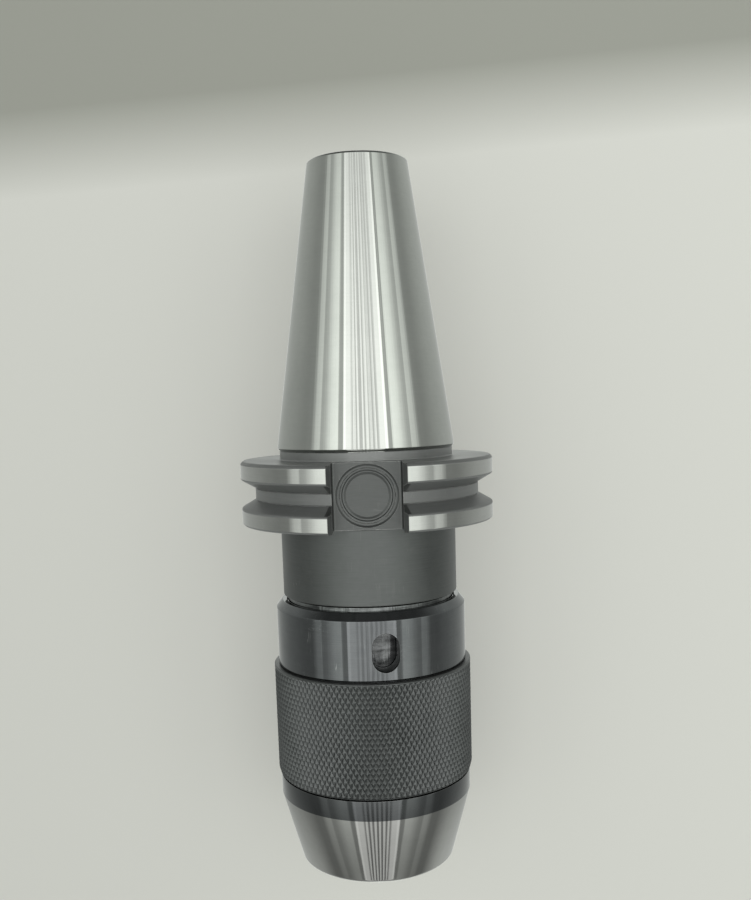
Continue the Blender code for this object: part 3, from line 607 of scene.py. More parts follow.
def rounded(profile: Profile, radius: float, least: float = 20.0, parts: int = 3) -> Profile:
    """Rounds the corners of a closed profile by a small radius.

    Args:
        profile: Closed loop of radius and height.
        radius: Set back of each rounding along its two sides.
        least: Corners that turn by fewer degrees stay as they are.
        parts: Segments of each rounding.

    Returns:
        The rounded profile.
    """
    points = [Vector(point) for point in profile]
    result: Profile = []
    for number, corner in enumerate(points):
        before = points[number - 1] - corner
        after = points[(number + 1) % len(points)] - corner
        turn = math.degrees(math.pi - before.angle(after))
        if turn < least or corner.x < ON_AXIS:
            result.append((corner.x, corner.y))
            continue
        reach = min(radius, MOST_REACH * before.length, MOST_REACH * after.length)
        back, ahead = before.normalized() * reach, after.normalized() * reach
        curve = [
            corner + back * HOLD,
            *arc(corner + back, corner, corner + ahead, parts),
            corner + ahead * HOLD,
        ]
        result += [(point.x, point.y) for point in curve]
    return result


def turned(name: str, profile: Profile, steps: int = FINE_STEPS) -> bpy.types.Object:
    """Turns a closed profile about Z.

    Args:
        name: The new object's name.
        profile: Closed loop of radius and height.
        steps: Steps of the full turn.

    Returns:
        An object with its place in its mesh.
    """
    shape = bmesh.new()
    rings = []
    for radius, height in profile:
        if radius < ON_AXIS:
            rings.append([shape.verts.new((0.0, 0.0, height))])
            continue
        angles = [math.tau * step / steps for step in range(steps)]
        ring = [(radius * math.cos(a), radius * math.sin(a), height) for a in angles]
        rings.append([shape.verts.new(point) for point in ring])
    for first, second in zip(rings, rings[1:] + rings[:1]):
        for step in range(steps):
            after = (step + 1) % steps
            corners = [
                first[step % len(first)],
                first[after % len(first)],
                second[after % len(second)],
                second[step % len(second)],
            ]
            unique = list(dict.fromkeys(corners))
            if len(unique) > 2:
                shape.faces.new(unique)
    return solid(name, shape)


def loft(name: str, rings: list[Ring], place: Matrix) -> bpy.types.Object:
    """Skins closed rings one after another, caps both ends and places the result.

    Args:
        name: The new object's name.
        rings: Rings of as many points each.
        place: Matrix that is applied to the mesh.

    Returns:
        The lofted shape.
    """
    shape = bmesh.new()
    loops = [[shape.verts.new(point) for point in ring] for ring in rings]
    shape.faces.new(loops[0])
    shape.faces.new(loops[-1])
    for low, high in zip(loops, loops[1:]):
        for number in range(len(low)):
            after = (number + 1) % len(low)
            shape.faces.new((low[number], low[after], high[after], high[number]))
    made = solid(name, shape)
    made.data.transform(place)
    return made


def linked(name: str, data: bpy.types.ID) -> bpy.types.Object:
    """Makes an object of a mesh or a camera and links it to the scene."""
    made = bpy.data.objects.new(name, data)
    bpy.context.scene.collection.objects.link(made)
    return made


def solid(name: str, shape: bmesh.types.BMesh) -> bpy.types.Object:
    """Turns a finished shape into an object, with its faces outwards.

    Args:
        name: The new object's name.
        shape: The shape, which is freed.

    Returns:
        The object, linked to the scene.
    """
    bmesh.ops.recalc_face_normals(shape, faces=shape.faces)
    mesh = bpy.data.meshes.new(name)
    shape.to_mesh(mesh)
    shape.free()
    return linked(name, mesh)


def baked(piece: bpy.types.Object) -> bpy.types.Object:
    """Works out a piece's modifiers into a plain mesh and removes them.

    Args:
        piece: The piece.

    Returns:
        The same piece.
    """
    bpy.context.view_layer.update()
    graph = bpy.context.evaluated_depsgraph_get()
    mesh = bpy.data.meshes.new_from_object(piece.evaluated_get(graph))
    piece.modifiers.clear()
    piece.data = mesh
    return piece


@contextmanager
def reshaped(mesh: bpy.types.Mesh) -> Iterator[bmesh.types.BMesh]:
    """Opens a mesh as an editable shape and writes it back.

    Args:
        mesh: The mesh.

    Yields:
        The shape.
    """
    shape = bmesh.new()
    shape.from_mesh(mesh)
    yield shape
    shape.to_mesh(mesh)
    shape.free()


def cut_away(piece: bpy.types.Object, cutters: list[bpy.types.Object]) -> None:
    """Cuts shapes out of a piece, welds it and removes the cutters.

    Args:
        piece: The piece.
        cutters: What is taken out of it.
    """
    for cutter in cutters:
        modifier = piece.modifiers.new(cutter.name, "BOOLEAN")
        modifier.operation = "DIFFERENCE"
        modifier.solver = "EXACT"
        modifier.object = cutter
    with reshaped(baked(piece).data) as shape:
        bmesh.ops.remove_doubles(shape, verts=shape.verts, dist=WELD)
    for cutter in cutters:
        bpy.data.objects.remove(cutter, do_unlink=True)


def dress(
    piece: bpy.types.Object, finishes: list[SurfaceFinish], pick: FacePick | None = None
) -> None:
    """Gives a piece its materials and its shading.

    Args:
        piece: The piece.
        finishes: Finishes in the order of their material slots.
        pick: Chooses a slot from a face's centre and normal, or None for one finish.
    """
    mesh = piece.data
    mesh.materials.clear()
    for finish in finishes:
        mesh.materials.append(finish.material())
    if pick:
        for face in mesh.polygons:
            face.material_index = pick(face.center, face.normal)
    mesh.shade_smooth()
    mesh.set_sharp_from_angle(angle=SHARP_ANGLE)


def finish_piece(piece: bpy.types.Object, body: Body, slot: str, *nodes: str) -> None:
    """Tells the frame what a piece rides on and which CAD nodes it replaces, and logs its faces.

    Args:
        piece: The piece.
        body: Body that it rides on.
        slot: Material slot of the record; not used.
        nodes: CAD nodes that it stands for.
    """
    if nodes:
        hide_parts(*nodes)
    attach(piece, body.value)
    log.info("%s: %d faces", piece.name, len(piece.data.polygons))


def node_span(node: str) -> tuple[float, float]:
    """Lowest and highest height of a CAD node."""
    low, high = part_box(node)
    return low[2], high[2]


def node_radius(node: str) -> float:
    """Outer radius of a round CAD node."""
    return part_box(node)[1][0]


def facing(centre: Vector, normal: Vector) -> tuple[float, float]:
    """Tells how a face lies to the axis.

    Args:
        centre: The face's centre.
        normal: Its normal.

    Returns:
        The centre's radius, and how far the normal points away from the axis, from -1 to 1.
    """
    radius = math.hypot(centre.x, centre.y)
    return radius, (centre.x * normal.x + centre.y * normal.y) / max(radius, SNAP)


@dataclass
class Shank:
    """Ground taper, V-flange, neck, journal and skirt in one piece."""

    gauge_radius: float = 22.225 * MM
    gauge_z: float = 108.0 * MM
    taper_slope: float = 7.0 / 48.0
    taper_overrun: float = 0.4 * MM
    taper_chamfer: float = 0.35 * MM
    relief_radius: float = 21.725 * MM
    relief_top_z: float = 107.1 * MM
    flange_radius: float = 31.75 * MM
    flange_foot_z: float = 88.95 * MM
    flange_top_z: float = 104.825 * MM
    flange_top_chamfer: float = 0.7 * MM
    flange_foot_chamfer: float = 0.4 * MM
    groove_z: float = 96.65 * MM
    groove_depth: float = 3.60 * MM
    groove_floor: float = 3.05 * MM
    groove_slant: float = math.radians(30.0)
    groove_reach: float = 2.0 * MM
    undercut: float = 0.22 * MM
    undercut_set: float = 0.3
    neck_radius: float = 22.2 * MM
    neck_foot_z: float = 70.5 * MM
    journal_radius: float = 19.4 * MM
    edge: float = 0.35 * MM
    gap: float = 0.3 * MM
    nut_wall: float = 4.4 * MM
    skirt_wall: float = 2.6 * MM
    screw_gap: float = 0.6 * MM
    stem_bore: float = 8.3 * MM
    stem_rise: float = 1.5 * MM
    stem_cone: float = 4.3 * MM
    drill_cone: float = 3.0 * MM
    slot_width: float = 16.38 * MM
    slot_corner: float = 0.6 * MM
    slot_corner_parts: int = 6
    slot_chamfer: float = 1.0 * MM
    slot_margin: float = 1.5 * MM
    front_floor: float = 22.61 * MM
    rear_floor: float = 25.02 * MM
    recess_z: float = 96.95 * MM
    recess_edge: float = 0.08 * MM
    recess_sides: int = 96
    # Radius and depth below the slot's floor, from the rim inwards
    recess_steps: tuple[tuple[float, float], ...] = (
        (7.50 * MM, 0.50 * MM),
        (7.50 * MM, 0.00 * MM),
        (7.00 * MM, -0.34 * MM),
        (6.62 * MM, -0.34 * MM),
        (6.52 * MM, -0.45 * MM),
        (6.42 * MM, -0.34 * MM),
        (6.05 * MM, -0.38 * MM),
        (5.80 * MM, -0.62 * MM),
        (5.55 * MM, -0.62 * MM),
        (5.00 * MM, -0.90 * MM),
        (0.00 * MM, -0.89 * MM),
        (0.00 * MM, 0.50 * MM),
    )
    stud_pilot_radius: float = 8.5 * MM
    stud_pilot_depth: float = 5.0 * MM
    stud_radius: float = 7.0 * MM
    stud_depth: float = 34.0 * MM
    through_radius: float = 4.0 * MM

    def taper_radius(self, height: float) -> float:
        """Radius of the taper at a height."""
        return self.gauge_radius - (height - self.gauge_z) * self.taper_slope

    def profile(self) -> Profile:
        """Outer side from the small end down to the skirt, then the bores back up.

        Returns:
            A closed loop of radius and height.
        """
        foot, top = node_span("shank_body")
        screw_foot, screw_top = node_span("jaw_screw")
        half = 0.5 * self.groove_floor
        mouth = half + self.groove_depth * math.tan(self.groove_slant)
        floor = self.flange_radius - self.groove_depth
        set_in = self.undercut_set * self.undercut
        ledge = node_span("rear_race")[1] + 2.0 * self.gap
        skirt = node_radius("thrust_nut") - self.nut_wall - self.gap
        skirt_bore = skirt - self.skirt_wall
        skirt_end = screw_foot + self.screw_gap
        stem_top = screw_top + self.stem_rise
        hole = top - self.stud_depth
        pilot = top - self.stud_pilot_depth
        chamfer = self.taper_chamfer
        taper_end = self.gauge_z - self.taper_overrun
        return [
            (self.taper_radius(top) - chamfer, top),
            (self.taper_radius(top - chamfer), top - chamfer),
            (self.taper_radius(taper_end), taper_end),
            (self.relief_radius, self.relief_top_z),
            (self.relief_radius, self.flange_top_z),
            (self.flange_radius - self.flange_top_chamfer, self.flange_top_z),
            (self.flange_radius, self.flange_top_z - self.flange_top_chamfer),
            (self.flange_radius, self.groove_z + mouth),
            (floor, self.groove_z + half),
            (floor - self.undercut, self.groove_z + half - set_in),
            (floor, self.groove_z + half - self.undercut),
            (floor, self.groove_z - half + self.undercut),
            (floor - self.undercut, self.groove_z - half + set_in),
            (floor, self.groove_z - half),
            (self.flange_radius, self.groove_z - mouth),
            (self.flange_radius, self.flange_foot_z + self.flange_foot_chamfer),
            (self.flange_radius - self.flange_foot_chamfer, self.flange_foot_z),
            (self.neck_radius, self.flange_foot_z),
            (self.neck_radius, self.neck_foot_z),
            (self.journal_radius, self.neck_foot_z),
            (self.journal_radius, ledge),
            (skirt, ledge),
            (skirt, foot),
            (skirt_bore, foot),
            (skirt_bore, skirt_end),
            (self.stem_bore, skirt_end),
            (self.stem_bore, stem_top),
            (self.through_radius, stem_top + self.stem_cone),
            (self.through_radius, hole - self.drill_cone),
            (self.stud_radius, hole),
            (self.stud_radius, pilot),
            (self.stud_pilot_radius, pilot),
            (self.stud_pilot_radius, top),
        ]

    def key_slot(self, name: str, floor: float, angle: float) -> bpy.types.Object:
        """Cutter of a key slot, with rounded floor corners and chamfered mouth.

        Args:
            name: The cutter's name.
            floor: Distance of the slot's floor from the axis.
            angle: Azimuth of the slot in degrees.

        Returns:
            The cutter.
        """
        half = 0.5 * self.slot_width
        rim = math.sqrt(self.flange_radius**2 - (half + self.slot_chamfer) ** 2)
        past = self.flange_radius - rim + self.slot_chamfer
        side = []
        for step in range(self.slot_corner_parts + 1):
            turn = math.radians(90.0 * step / self.slot_corner_parts)
            x = floor + self.slot_corner * (1.0 - math.cos(turn))
            y = half - self.slot_corner * (1.0 - math.sin(turn))
            side.append((x, y))
        side.append((rim - self.slot_chamfer, half))
        side.append((rim + past, half + self.slot_chamfer + past))
        outline = side + [(x, -y) for x, y in reversed(side)]
        ends = (self.flange_foot_z - self.slot_chamfer, self.flange_top_z + self.slot_chamfer)
        rings = [[(x, y, height) for x, y in outline] for height in ends]
        return loft(name, rings, Matrix.Rotation(math.radians(angle), 4, "Z"))

    def recess(self) -> bpy.types.Object:
        """Cutter of the stepped round recess in the front slot's floor.

        Returns:
            The cutter.
        """
        steps = rounded(list(self.recess_steps), self.recess_edge)
        cutter = turned("recess_cutter", steps, self.recess_sides)
        turn = Matrix.Rotation(math.radians(90.0), 4, "X")
        cutter.data.transform(Matrix.Translation((0.0, -self.front_floor, self.recess_z)) @ turn)
        return cutter

    def pick(self, centre: Vector, normal: Vector) -> int:
        """Chooses the finish of a face of the shank.

        Args:
            centre: The face's centre.
            normal: Its normal.

        Returns:
            Its zone, a slot number.
        """
        radius, outward = facing(centre, normal)
        if radius < self.stud_pilot_radius + NEAR and centre.z > self.flange_foot_z:
            return ShankZone.BORE
        if centre.z > self.relief_top_z - 0.5 * NEAR:
            return ShankZone.TAPER
        if centre.z > self.flange_foot_z - NEAR:
            # Faces pointing up, and the relief above the flange, take the blacked finish with
            # painted light
            if normal.z > FLAT or centre.z > self.flange_top_z - NEAR:
                return ShankZone.FACE
            if self.in_slot(centre):
                return ShankZone.SLOT
            on_rim = abs(radius - self.flange_radius) < 0.2 * NEAR and outward > OUTWARD
            return ShankZone.RIM if on_rim else ShankZone.GROOVE
        if radius > self.journal_radius + NEAR:
            return ShankZone.NECK
        if outward > 0.0 and radius > self.journal_radius - 4.0 * NEAR:
            return ShankZone.JOURNAL
        return ShankZone.BORE

    def in_slot(self, centre: Vector) -> bool:
        """Tells whether a face lies on one of the key slots' walls or floors.

        Args:
            centre: The face's centre.

        Returns:
            Whether it does.
        """
        if abs(centre.x) > 0.5 * self.slot_width + self.slot_chamfer:
            return False
        reach = self.front_floor if centre.y < 0.0 else self.rear_floor
        beyond = abs(centre.y) > reach - self.slot_margin
        radius = math.hypot(centre.x, centre.y)
        within = abs(centre.z - self.groove_z) < self.groove_reach
        floor = self.flange_radius - self.groove_depth
        return beyond and radius < (floor if within else self.flange_radius) - 0.5 * NEAR

    def build(self) -> None:
        """Builds the shank and dresses it."""
        shank = turned("shank_fine", rounded(self.profile(), self.edge))
        cutters = [
            self.key_slot("front_slot_cutter", self.front_floor, -90.0),
            self.key_slot("rear_slot_cutter", self.rear_floor, 90.0),
            self.recess(),
        ]
        cut_away(shank, cutters)
        finishes = [
            TAPER_STEEL, RIM_STEEL, NECK_BLACK, GROOVE_BLACK, JOURNAL_STEEL, BORE_STEEL, SLOT_BLACK,
            FACE_BLACK,
        ]
        dress(shank, finishes, self.pick)
        finish_piece(shank, Body.SHANK, "ground_steel", "shank_body")


@dataclass
class SpannerSleeve:
    """Blacked collar with the spanner hole, and the thin tube that carries grip and nose."""

    chamfer: float = 1.5 * MM
    chamfer_drop: float = 1.9 * MM
    foot_z: float = 52.9 * MM
    hole_azimuth: float = -82.25
    hole_width: float = 6.5 * MM
    hole_height: float = 9.25 * MM
    hole_z: float = 59.65 * MM
    hole_parts: int = 32
    hole_chamfer: float = 0.20 * MM
    # Height over the outer side and widening of the hole's mouth, both in chamfers
    hole_mouth: Stops = ((-2.2, 0.0), (0.0, 1.0), (5.0, 6.0))
    # The hole's wall lies past this radius and points less than this away from the axis
    hole_inner: float = 20.0 * MM
    hole_facing: float = 0.6
    # The bore lies within this radius and points towards the axis by more than this
    bore_outer: float = 22.0 * MM
    bore_facing: float = -0.5
    journal_radius: float = 19.4 * MM
    tube_wall: float = 1.0 * MM
    clamp_wall: float = 1.6 * MM
    chamber_wall: float = 0.6 * MM
    bore_wall: float = 1.3 * MM
    pocket_wall: float = 1.8 * MM
    pocket_depth: float = 0.7 * MM
    gap: float = 0.3 * MM
    edge: float = 0.15 * MM

    def profile(self) -> Profile:
        """Section of the sleeve: down its outer side and up its bore.

        Returns:
            A closed loop of radius and height.
        """
        outer = node_radius("spanner_sleeve")
        foot, top = node_span("spanner_sleeve")
        tube = outer - self.tube_wall
        clamp = tube - self.clamp_wall
        chamber = clamp - self.chamber_wall
        bore = chamber - self.bore_wall
        step_z = node_span("jaw_guide")[1] + self.gap
        ledge = node_span("rear_race")[1] + self.gap
        pocket = bore + self.pocket_wall
        return [
            (outer - self.chamfer, top),
            (outer, top - self.chamfer_drop),
            (outer, self.foot_z),
            (tube, self.foot_z),
            (tube, foot),
            (clamp, foot),
            (clamp, step_z),
            (chamber, step_z),
            (chamber, ledge),
            (bore, ledge),
            (bore, top - self.pocket_depth),
            (pocket, top - self.pocket_depth),
            (pocket, top),
        ]

    def hole_outline(self, grow: float) -> Profile:
        """Upright obround of the spanner hole.

        Args:
            grow: How far it is widened all round.

        Returns:
            A closed loop, x up the chuck and y round it.
        """
        radius = 0.5 * self.hole_width + grow
        straight = 0.5 * (self.hole_height - self.hole_width)
        points = []
        for side in (1.0, -1.0):
            for step in range(self.hole_parts + 1):
                angle = math.pi * step / self.hole_parts
                x = side * (straight + radius * math.sin(angle))
                points.append((x, side * radius * math.cos(angle)))
        return points

    def hole_cutter(self) -> bpy.types.Object:
        """Builds the cutter of the spanner hole, flared at its mouth.

        Returns:
            The cutter.
        """
        outer, chamfer = node_radius("spanner_sleeve"), self.hole_chamfer
        levels = [(outer + rise * chamfer, grow * chamfer) for rise, grow in self.hole_mouth]
        levels.insert(0, (self.journal_radius, 0.0))
        rings = [[(x, y, level) for x, y in self.hole_outline(grow)] for level, grow in levels]
        place = (
            Matrix.Translation((0.0, 0.0, self.hole_z))
            @ Matrix.Rotation(math.radians(self.hole_azimuth), 4, "Z")
            @ Matrix.Rotation(math.radians(90.0), 4, "Y")
        )
        return loft("hole_cutter", rings, place)

    def build(self) -> None:
        """Builds the sleeve, cuts its hole and dresses it."""
        sleeve = turned("collar_fine", rounded(self.profile(), self.edge))
        cut_away(sleeve, [self.hole_cutter()])
        dress(sleeve, [COLLAR_BLACK, BORE_STEEL, HOLE_BLACK], self.pick)
        finish_piece(sleeve, Body.SLEEVE, "blacked_steel", "spanner_sleeve")

    def pick(self, centre: Vector, normal: Vector) -> int:
        """Chooses the finish of a face of the sleeve.

        Args:
            centre: The face's centre.
            normal: Its normal.

        Returns:
            Its zone, a slot number.
        """
        radius, outward = facing(centre, normal)
        # The spanner hole's wall takes the darker finish with painted shade
        across = abs(centre.z - self.hole_z) < 0.5 * self.hole_height + NEAR
        if across and abs(outward) < self.hole_facing and radius > self.hole_inner:
            return SleeveZone.HOLE
        inside = outward < self.bore_facing and radius < self.bore_outer
        return SleeveZone.BORE if inside else SleeveZone.OUTSIDE


@dataclass
class KnurledGrip:
    """Grip sleeve whose diamond knurl runs on over its foot chamfer."""

    count_round: int = 112
    row_pitch: float = 1.25 * MM
    rows: int = 26
    depth: float = 0.36 * MM
    flat: float = 0.26
    foot_chamfer: float = 1.6 * MM
    foot_inset: float = 0.45 * MM
    # The knurl ends above a plain lip, whose points are steps from the inset and up from the foot
    knurl_end: float = 0.3 * MM
    lip_root: tuple[float, float] = (0.10 * MM, 0.35 * MM)
    lip_edge: tuple[float, float] = (-0.12 * MM, 0.25 * MM)
    lip_foot: tuple[float, float] = (-0.25 * MM, 0.0)
    top_edge: float = 0.25 * MM
    plain_edge: float = 0.45 * MM
    tube_wall: float = 1.0 * MM
    gap: float = 0.3 * MM
    # A diamond leans with the chamfer once its row is this share of the way in
    lean_from: float = 0.02

    def build_core(self) -> bpy.types.Object:
        """Builds the tube under the knurl with its plain edges.

        Returns:
            The tube.
        """
        outer = node_radius("knurled_sleeve")
        foot, top = node_span("knurled_sleeve")
        bore = node_radius("spanner_sleeve") - self.tube_wall + self.gap
        root = outer - self.depth
        lip = [
            (radius - self.foot_inset + step, foot + rise)
            for radius, (step, rise) in (
                (root, self.lip_root), (outer, self.lip_edge), (outer, self.lip_foot),
            )
        ]
        profile = [
            (outer - self.top_edge, top),
            (outer, top - self.top_edge),
            (outer, top - self.plain_edge),
            (root, top - self.plain_edge - self.depth),
            (root, foot + self.foot_chamfer),
            *lip,
            (bore, foot),
            (bore, top),
        ]
        return turned("grip_core", profile)

    def build_tree(self) -> bpy.types.NodeTree:
        """Builds the geometry node tree that sets the diamonds out in staggered rows.

        Returns:
            The node tree.
        """
        sizes = (
            "Root Radius", "First Row", "Row Pitch", "Depth", "Flat", "Foot", "Chamfer", "Inset",
            "Lean From",
        )
        graph, given = new_geometry("diamond_knurl", counts=("Count Round", "Rows"), sizes=sizes)
        count = given["Count Round"]
        points = {"Count": graph.math("MULTIPLY", count, given["Rows"])}
        line = graph.fed("GeometryNodeMeshLine", points, mode="OFFSET")
        index = graph.node("GeometryNodeInputIndex").outputs[0]
        row = graph.math("FLOOR", graph.math("DIVIDE", graph.math("ADD", index, 0.5), count))
        stagger = graph.math("MULTIPLY", graph.math("MODULO", row, 2.0), 0.5)
        place_round = graph.math("DIVIDE", graph.math("ADD", index, stagger), count)
        turn = graph.math("MULTIPLY", place_round, math.tau)
        height = graph.math("MULTIPLY_ADD", row, given["Row Pitch"], given["First Row"])
        over = graph.math("DIVIDE", graph.math("SUBTRACT", height, given["Foot"]), given["Chamfer"])
        share = graph.math("SUBTRACT", 1.0, graph.math("MINIMUM", over, 1.0))
        inwards = graph.math("MULTIPLY", share, given["Inset"])
        radius = graph.math("SUBTRACT", given["Root Radius"], inwards)
        x, y = (
            graph.math("MULTIPLY", radius, graph.math(side, turn)) for side in ("COSINE", "SINE")
        )
        slant = graph.math("ARCTAN2", given["Inset"], given["Chamfer"])
        on_chamfer = graph.math("GREATER_THAN", share, given["Lean From"])
        lean = graph.math("MULTIPLY_ADD", slant, on_chamfer, 0.5 * math.pi)
        rotation = graph.join(lean, 0.0, graph.math("ADD", turn, 0.5 * math.pi))
        places = {"Geometry": line.outputs[0], "Position": graph.join(x, y, height)}
        moved = graph.fed("GeometryNodeSetPosition", places)
        form = {
            "Vertices": 4, "Side Segments": 1, "Fill Segments": 1, "Depth": 1.0,
            "Radius Bottom": 1.0, "Radius Top": given["Flat"],
        }
        diamond = graph.fed("GeometryNodeMeshCone", form, fill_type="TRIANGLE_FAN")
        around = graph.math("DIVIDE", graph.math("MULTIPLY", given["Root Radius"], math.pi), count)
        spread = graph.fed(
            "GeometryNodeInstanceOnPoints",
            {
                "Points": moved.outputs[0],
                "Instance": diamond.outputs[0],
                "Rotation": rotation,
                "Scale": graph.join(around, given["Row Pitch"], given["Depth"]),
            },
        )
        return close_geometry(graph, spread.outputs[0], given["Material"])

    def build_diamonds(self) -> bpy.types.Object:
        """Runs the tree and bakes its result.

        Returns:
            The diamonds as one mesh.
        """
        foot, _ = node_span("knurled_sleeve")
        values = {
            "Count Round": self.count_round,
            "Rows": self.rows,
            "Root Radius": node_radius("knurled_sleeve") - self.depth,
            "First Row": foot + 0.5 * self.row_pitch,
            "Row Pitch": self.row_pitch,
            "Depth": self.depth,
            "Flat": self.flat,
            "Foot": foot,
            "Chamfer": self.foot_chamfer,
            "Inset": self.foot_inset,
            "Lean From": self.lean_from,
            "Material": KNURL_BLACK.material(),
        }
        return run_tree("grip_fine", self.build_tree(), values)

    def build(self) -> None:
        """Builds the grip, clips its knurl at both ends and dresses it."""
        foot, top = node_span("knurled_sleeve")
        core = self.build_core()
        grip = self.build_diamonds()
        with reshaped(grip.data) as shape:
            for height, side in ((foot + self.knurl_end, -1.0), (top - self.plain_edge, 1.0)):
                made = bmesh.ops.bisect_plane(
                    shape,
                    geom=[*shape.verts, *shape.edges, *shape.faces],
                    dist=SNAP,
                    plane_co=(0.0, 0.0, height),
                    plane_no=(0.0, 0.0, side),
                    clear_outer=True,
                )
                rim = [item for item in made["geom_cut"] if isinstance(item, bmesh.types.BMEdge)]
                bmesh.ops.contextual_create(shape, geom=rim)
            shape.from_mesh(core.data)
        bpy.data.objects.remove(core, do_unlink=True)
        dress(grip, [KNURL_BLACK])
        finish_piece(grip, Body.SLEEVE, "knurled_steel", "knurled_sleeve")


def new_geometry(
    name: str, counts: tuple[str, ...] = (), sizes: tuple[str, ...] = ()
) -> tuple[Graph, bpy.types.NodeOutputs]:
    """Starts a geometry node tree that also takes a material.

    Args:
        name: The tree's name.
        counts: Names of its whole-number inputs.
        sizes: Names of its length and ratio inputs.

    Returns:
        The graph and the sockets that give the tree's inputs.
    """
    tree = bpy.data.node_groups.new(name, "GeometryNodeTree")
    kinds = [
        ("Geometry", "Geometry"), *((key, "Int") for key in counts),
        *((key, "Float") for key in sizes), ("Material", "Material"),
    ]
    for key, kind in kinds:
        tree.interface.new_socket(key, in_out="INPUT", socket_type=f"NodeSocket{kind}")
    tree.interface.new_socket("Geometry", in_out="OUTPUT", socket_type="NodeSocketGeometry")
    graph = Graph(tree)
    return graph, graph.node("NodeGroupInput").outputs


def close_geometry(graph: Graph, shape: Socket, material: Socket) -> bpy.types.NodeTree:
    """Ends a geometry node tree in real, painted geometry.

    Args:
        graph: The tree's graph.
        shape: The geometry.
        material: Its material.

    Returns:
        The node tree.
    """
    real = graph.fed("GeometryNodeRealizeInstances", {0: shape})
    inputs = {"Geometry": real.outputs[0], "Material": material}
    painted = graph.fed("GeometryNodeSetMaterial", inputs)
    graph.fed("NodeGroupOutput", {0: painted.outputs[0]})
    return graph.tree


def run_tree(name: str, tree: bpy.types.NodeTree, values: dict[str, object]) -> bpy.types.Object:
    """Runs a geometry node tree on an empty mesh and bakes the result.

    Args:
        name: The new object's name.
        tree: The node tree.
        values: Its inputs by name.

    Returns:
        The baked object.
    """
    made = linked(name, bpy.data.meshes.new(name))
    modifier = made.modifiers.new(name, "NODES")
    modifier.node_group = tree
    for item in tree.interface.items_tree:
        if item.in_out == "INPUT" and item.name in values:
            modifier[item.identifier] = values[item.name]
    return baked(made)


@dataclass
class NoseCone:
    """Blacked band, ground cone and the spigot that screws into the sleeve."""

    cone_z: float = 18.3 * MM
    band_top_z: float = 23.3 * MM
    band_radius: float = 24.85 * MM
    slope: float = math.radians(15.0)
    edge: float = 0.12 * MM
    face_edge: float = 0.9 * MM
    face_parts: int = 8
    mouth_chamfer: float = 0.6 * MM
    mouth_radius: float = 10.3 * MM
    # A face of the bore points less than this along the axis
    bore_flat: float = 0.9

    def profile(self) -> Profile:
        """Section of the nose: down its outer side and up its inner cone.

        Returns:
            A closed loop of radius and height.
        """
        top = node_span("nose_cone")[1]
        spigot = node_radius("jaw_guide")
        tan = math.tan(self.slope)
        face = self.band_radius - self.cone_z * tan
        start = Vector((face + tan * self.face_edge, self.face_edge))
        end = Vector((face - self.face_edge, 0.0))
        mouth = self.mouth_radius + self.mouth_chamfer * tan
        return [
            (spigot, top),
            (spigot, self.band_top_z),
            (self.band_radius, self.band_top_z),
            (self.band_radius, self.cone_z),
            *((x, z) for x, z in arc(start, Vector((face, 0.0)), end, self.face_parts)),
            (mouth + self.mouth_chamfer, 0.0),
            (mouth, self.mouth_chamfer),
            (self.mouth_radius + top * tan, top),
        ]

    def pick(self, centre: Vector, normal: Vector) -> int:
        """Chooses the finish of a face of the nose.

        Args:
            centre: The face's centre.
            normal: Its normal.

        Returns:
            Its zone, a slot number.
        """
        _, outward = facing(centre, normal)
        if outward <= 0.0 and abs(normal.z) < self.bore_flat:
            return NoseZone.BORE
        return NoseZone.CONE if centre.z < self.cone_z else NoseZone.BAND

    def build(self) -> None:
        """Builds the nose and dresses it."""
        nose = turned("nose_fine", rounded(self.profile(), self.edge))
        dress(nose, [NOSE_STEEL, BAND_BLACK, BORE_STEEL], self.pick)
        finish_piece(nose, Body.SLEEVE, "ground_steel", "nose_cone")


@dataclass
class DustSeal:
    """Round rubber ring in the gap under the neck."""

    depth: float = 1.1 * MM
    lip_lean: float = 0.17 * MM
    lip_drop: float = 0.48 * MM
    edge: float = 0.16 * MM

    def build(self) -> None:
        """Builds the ring and dresses it."""
        outer = node_radius("dust_seal")
        foot, top = node_span("dust_seal")
        profile = [
            (outer - self.depth, top),
            (outer - self.lip_lean - self.edge, top),
            (outer - self.lip_lean, top - self.edge),
            (outer, 0.5 * (foot + top) - self.lip_drop),
            (outer - self.edge, foot),
            (outer - self.depth, foot),
        ]
        ring = turned("seal_fine", rounded(profile, self.edge))
        dress(ring, [SEAL_RUBBER])
        finish_piece(ring, Body.SHANK, "seal_rubber", "dust_seal")


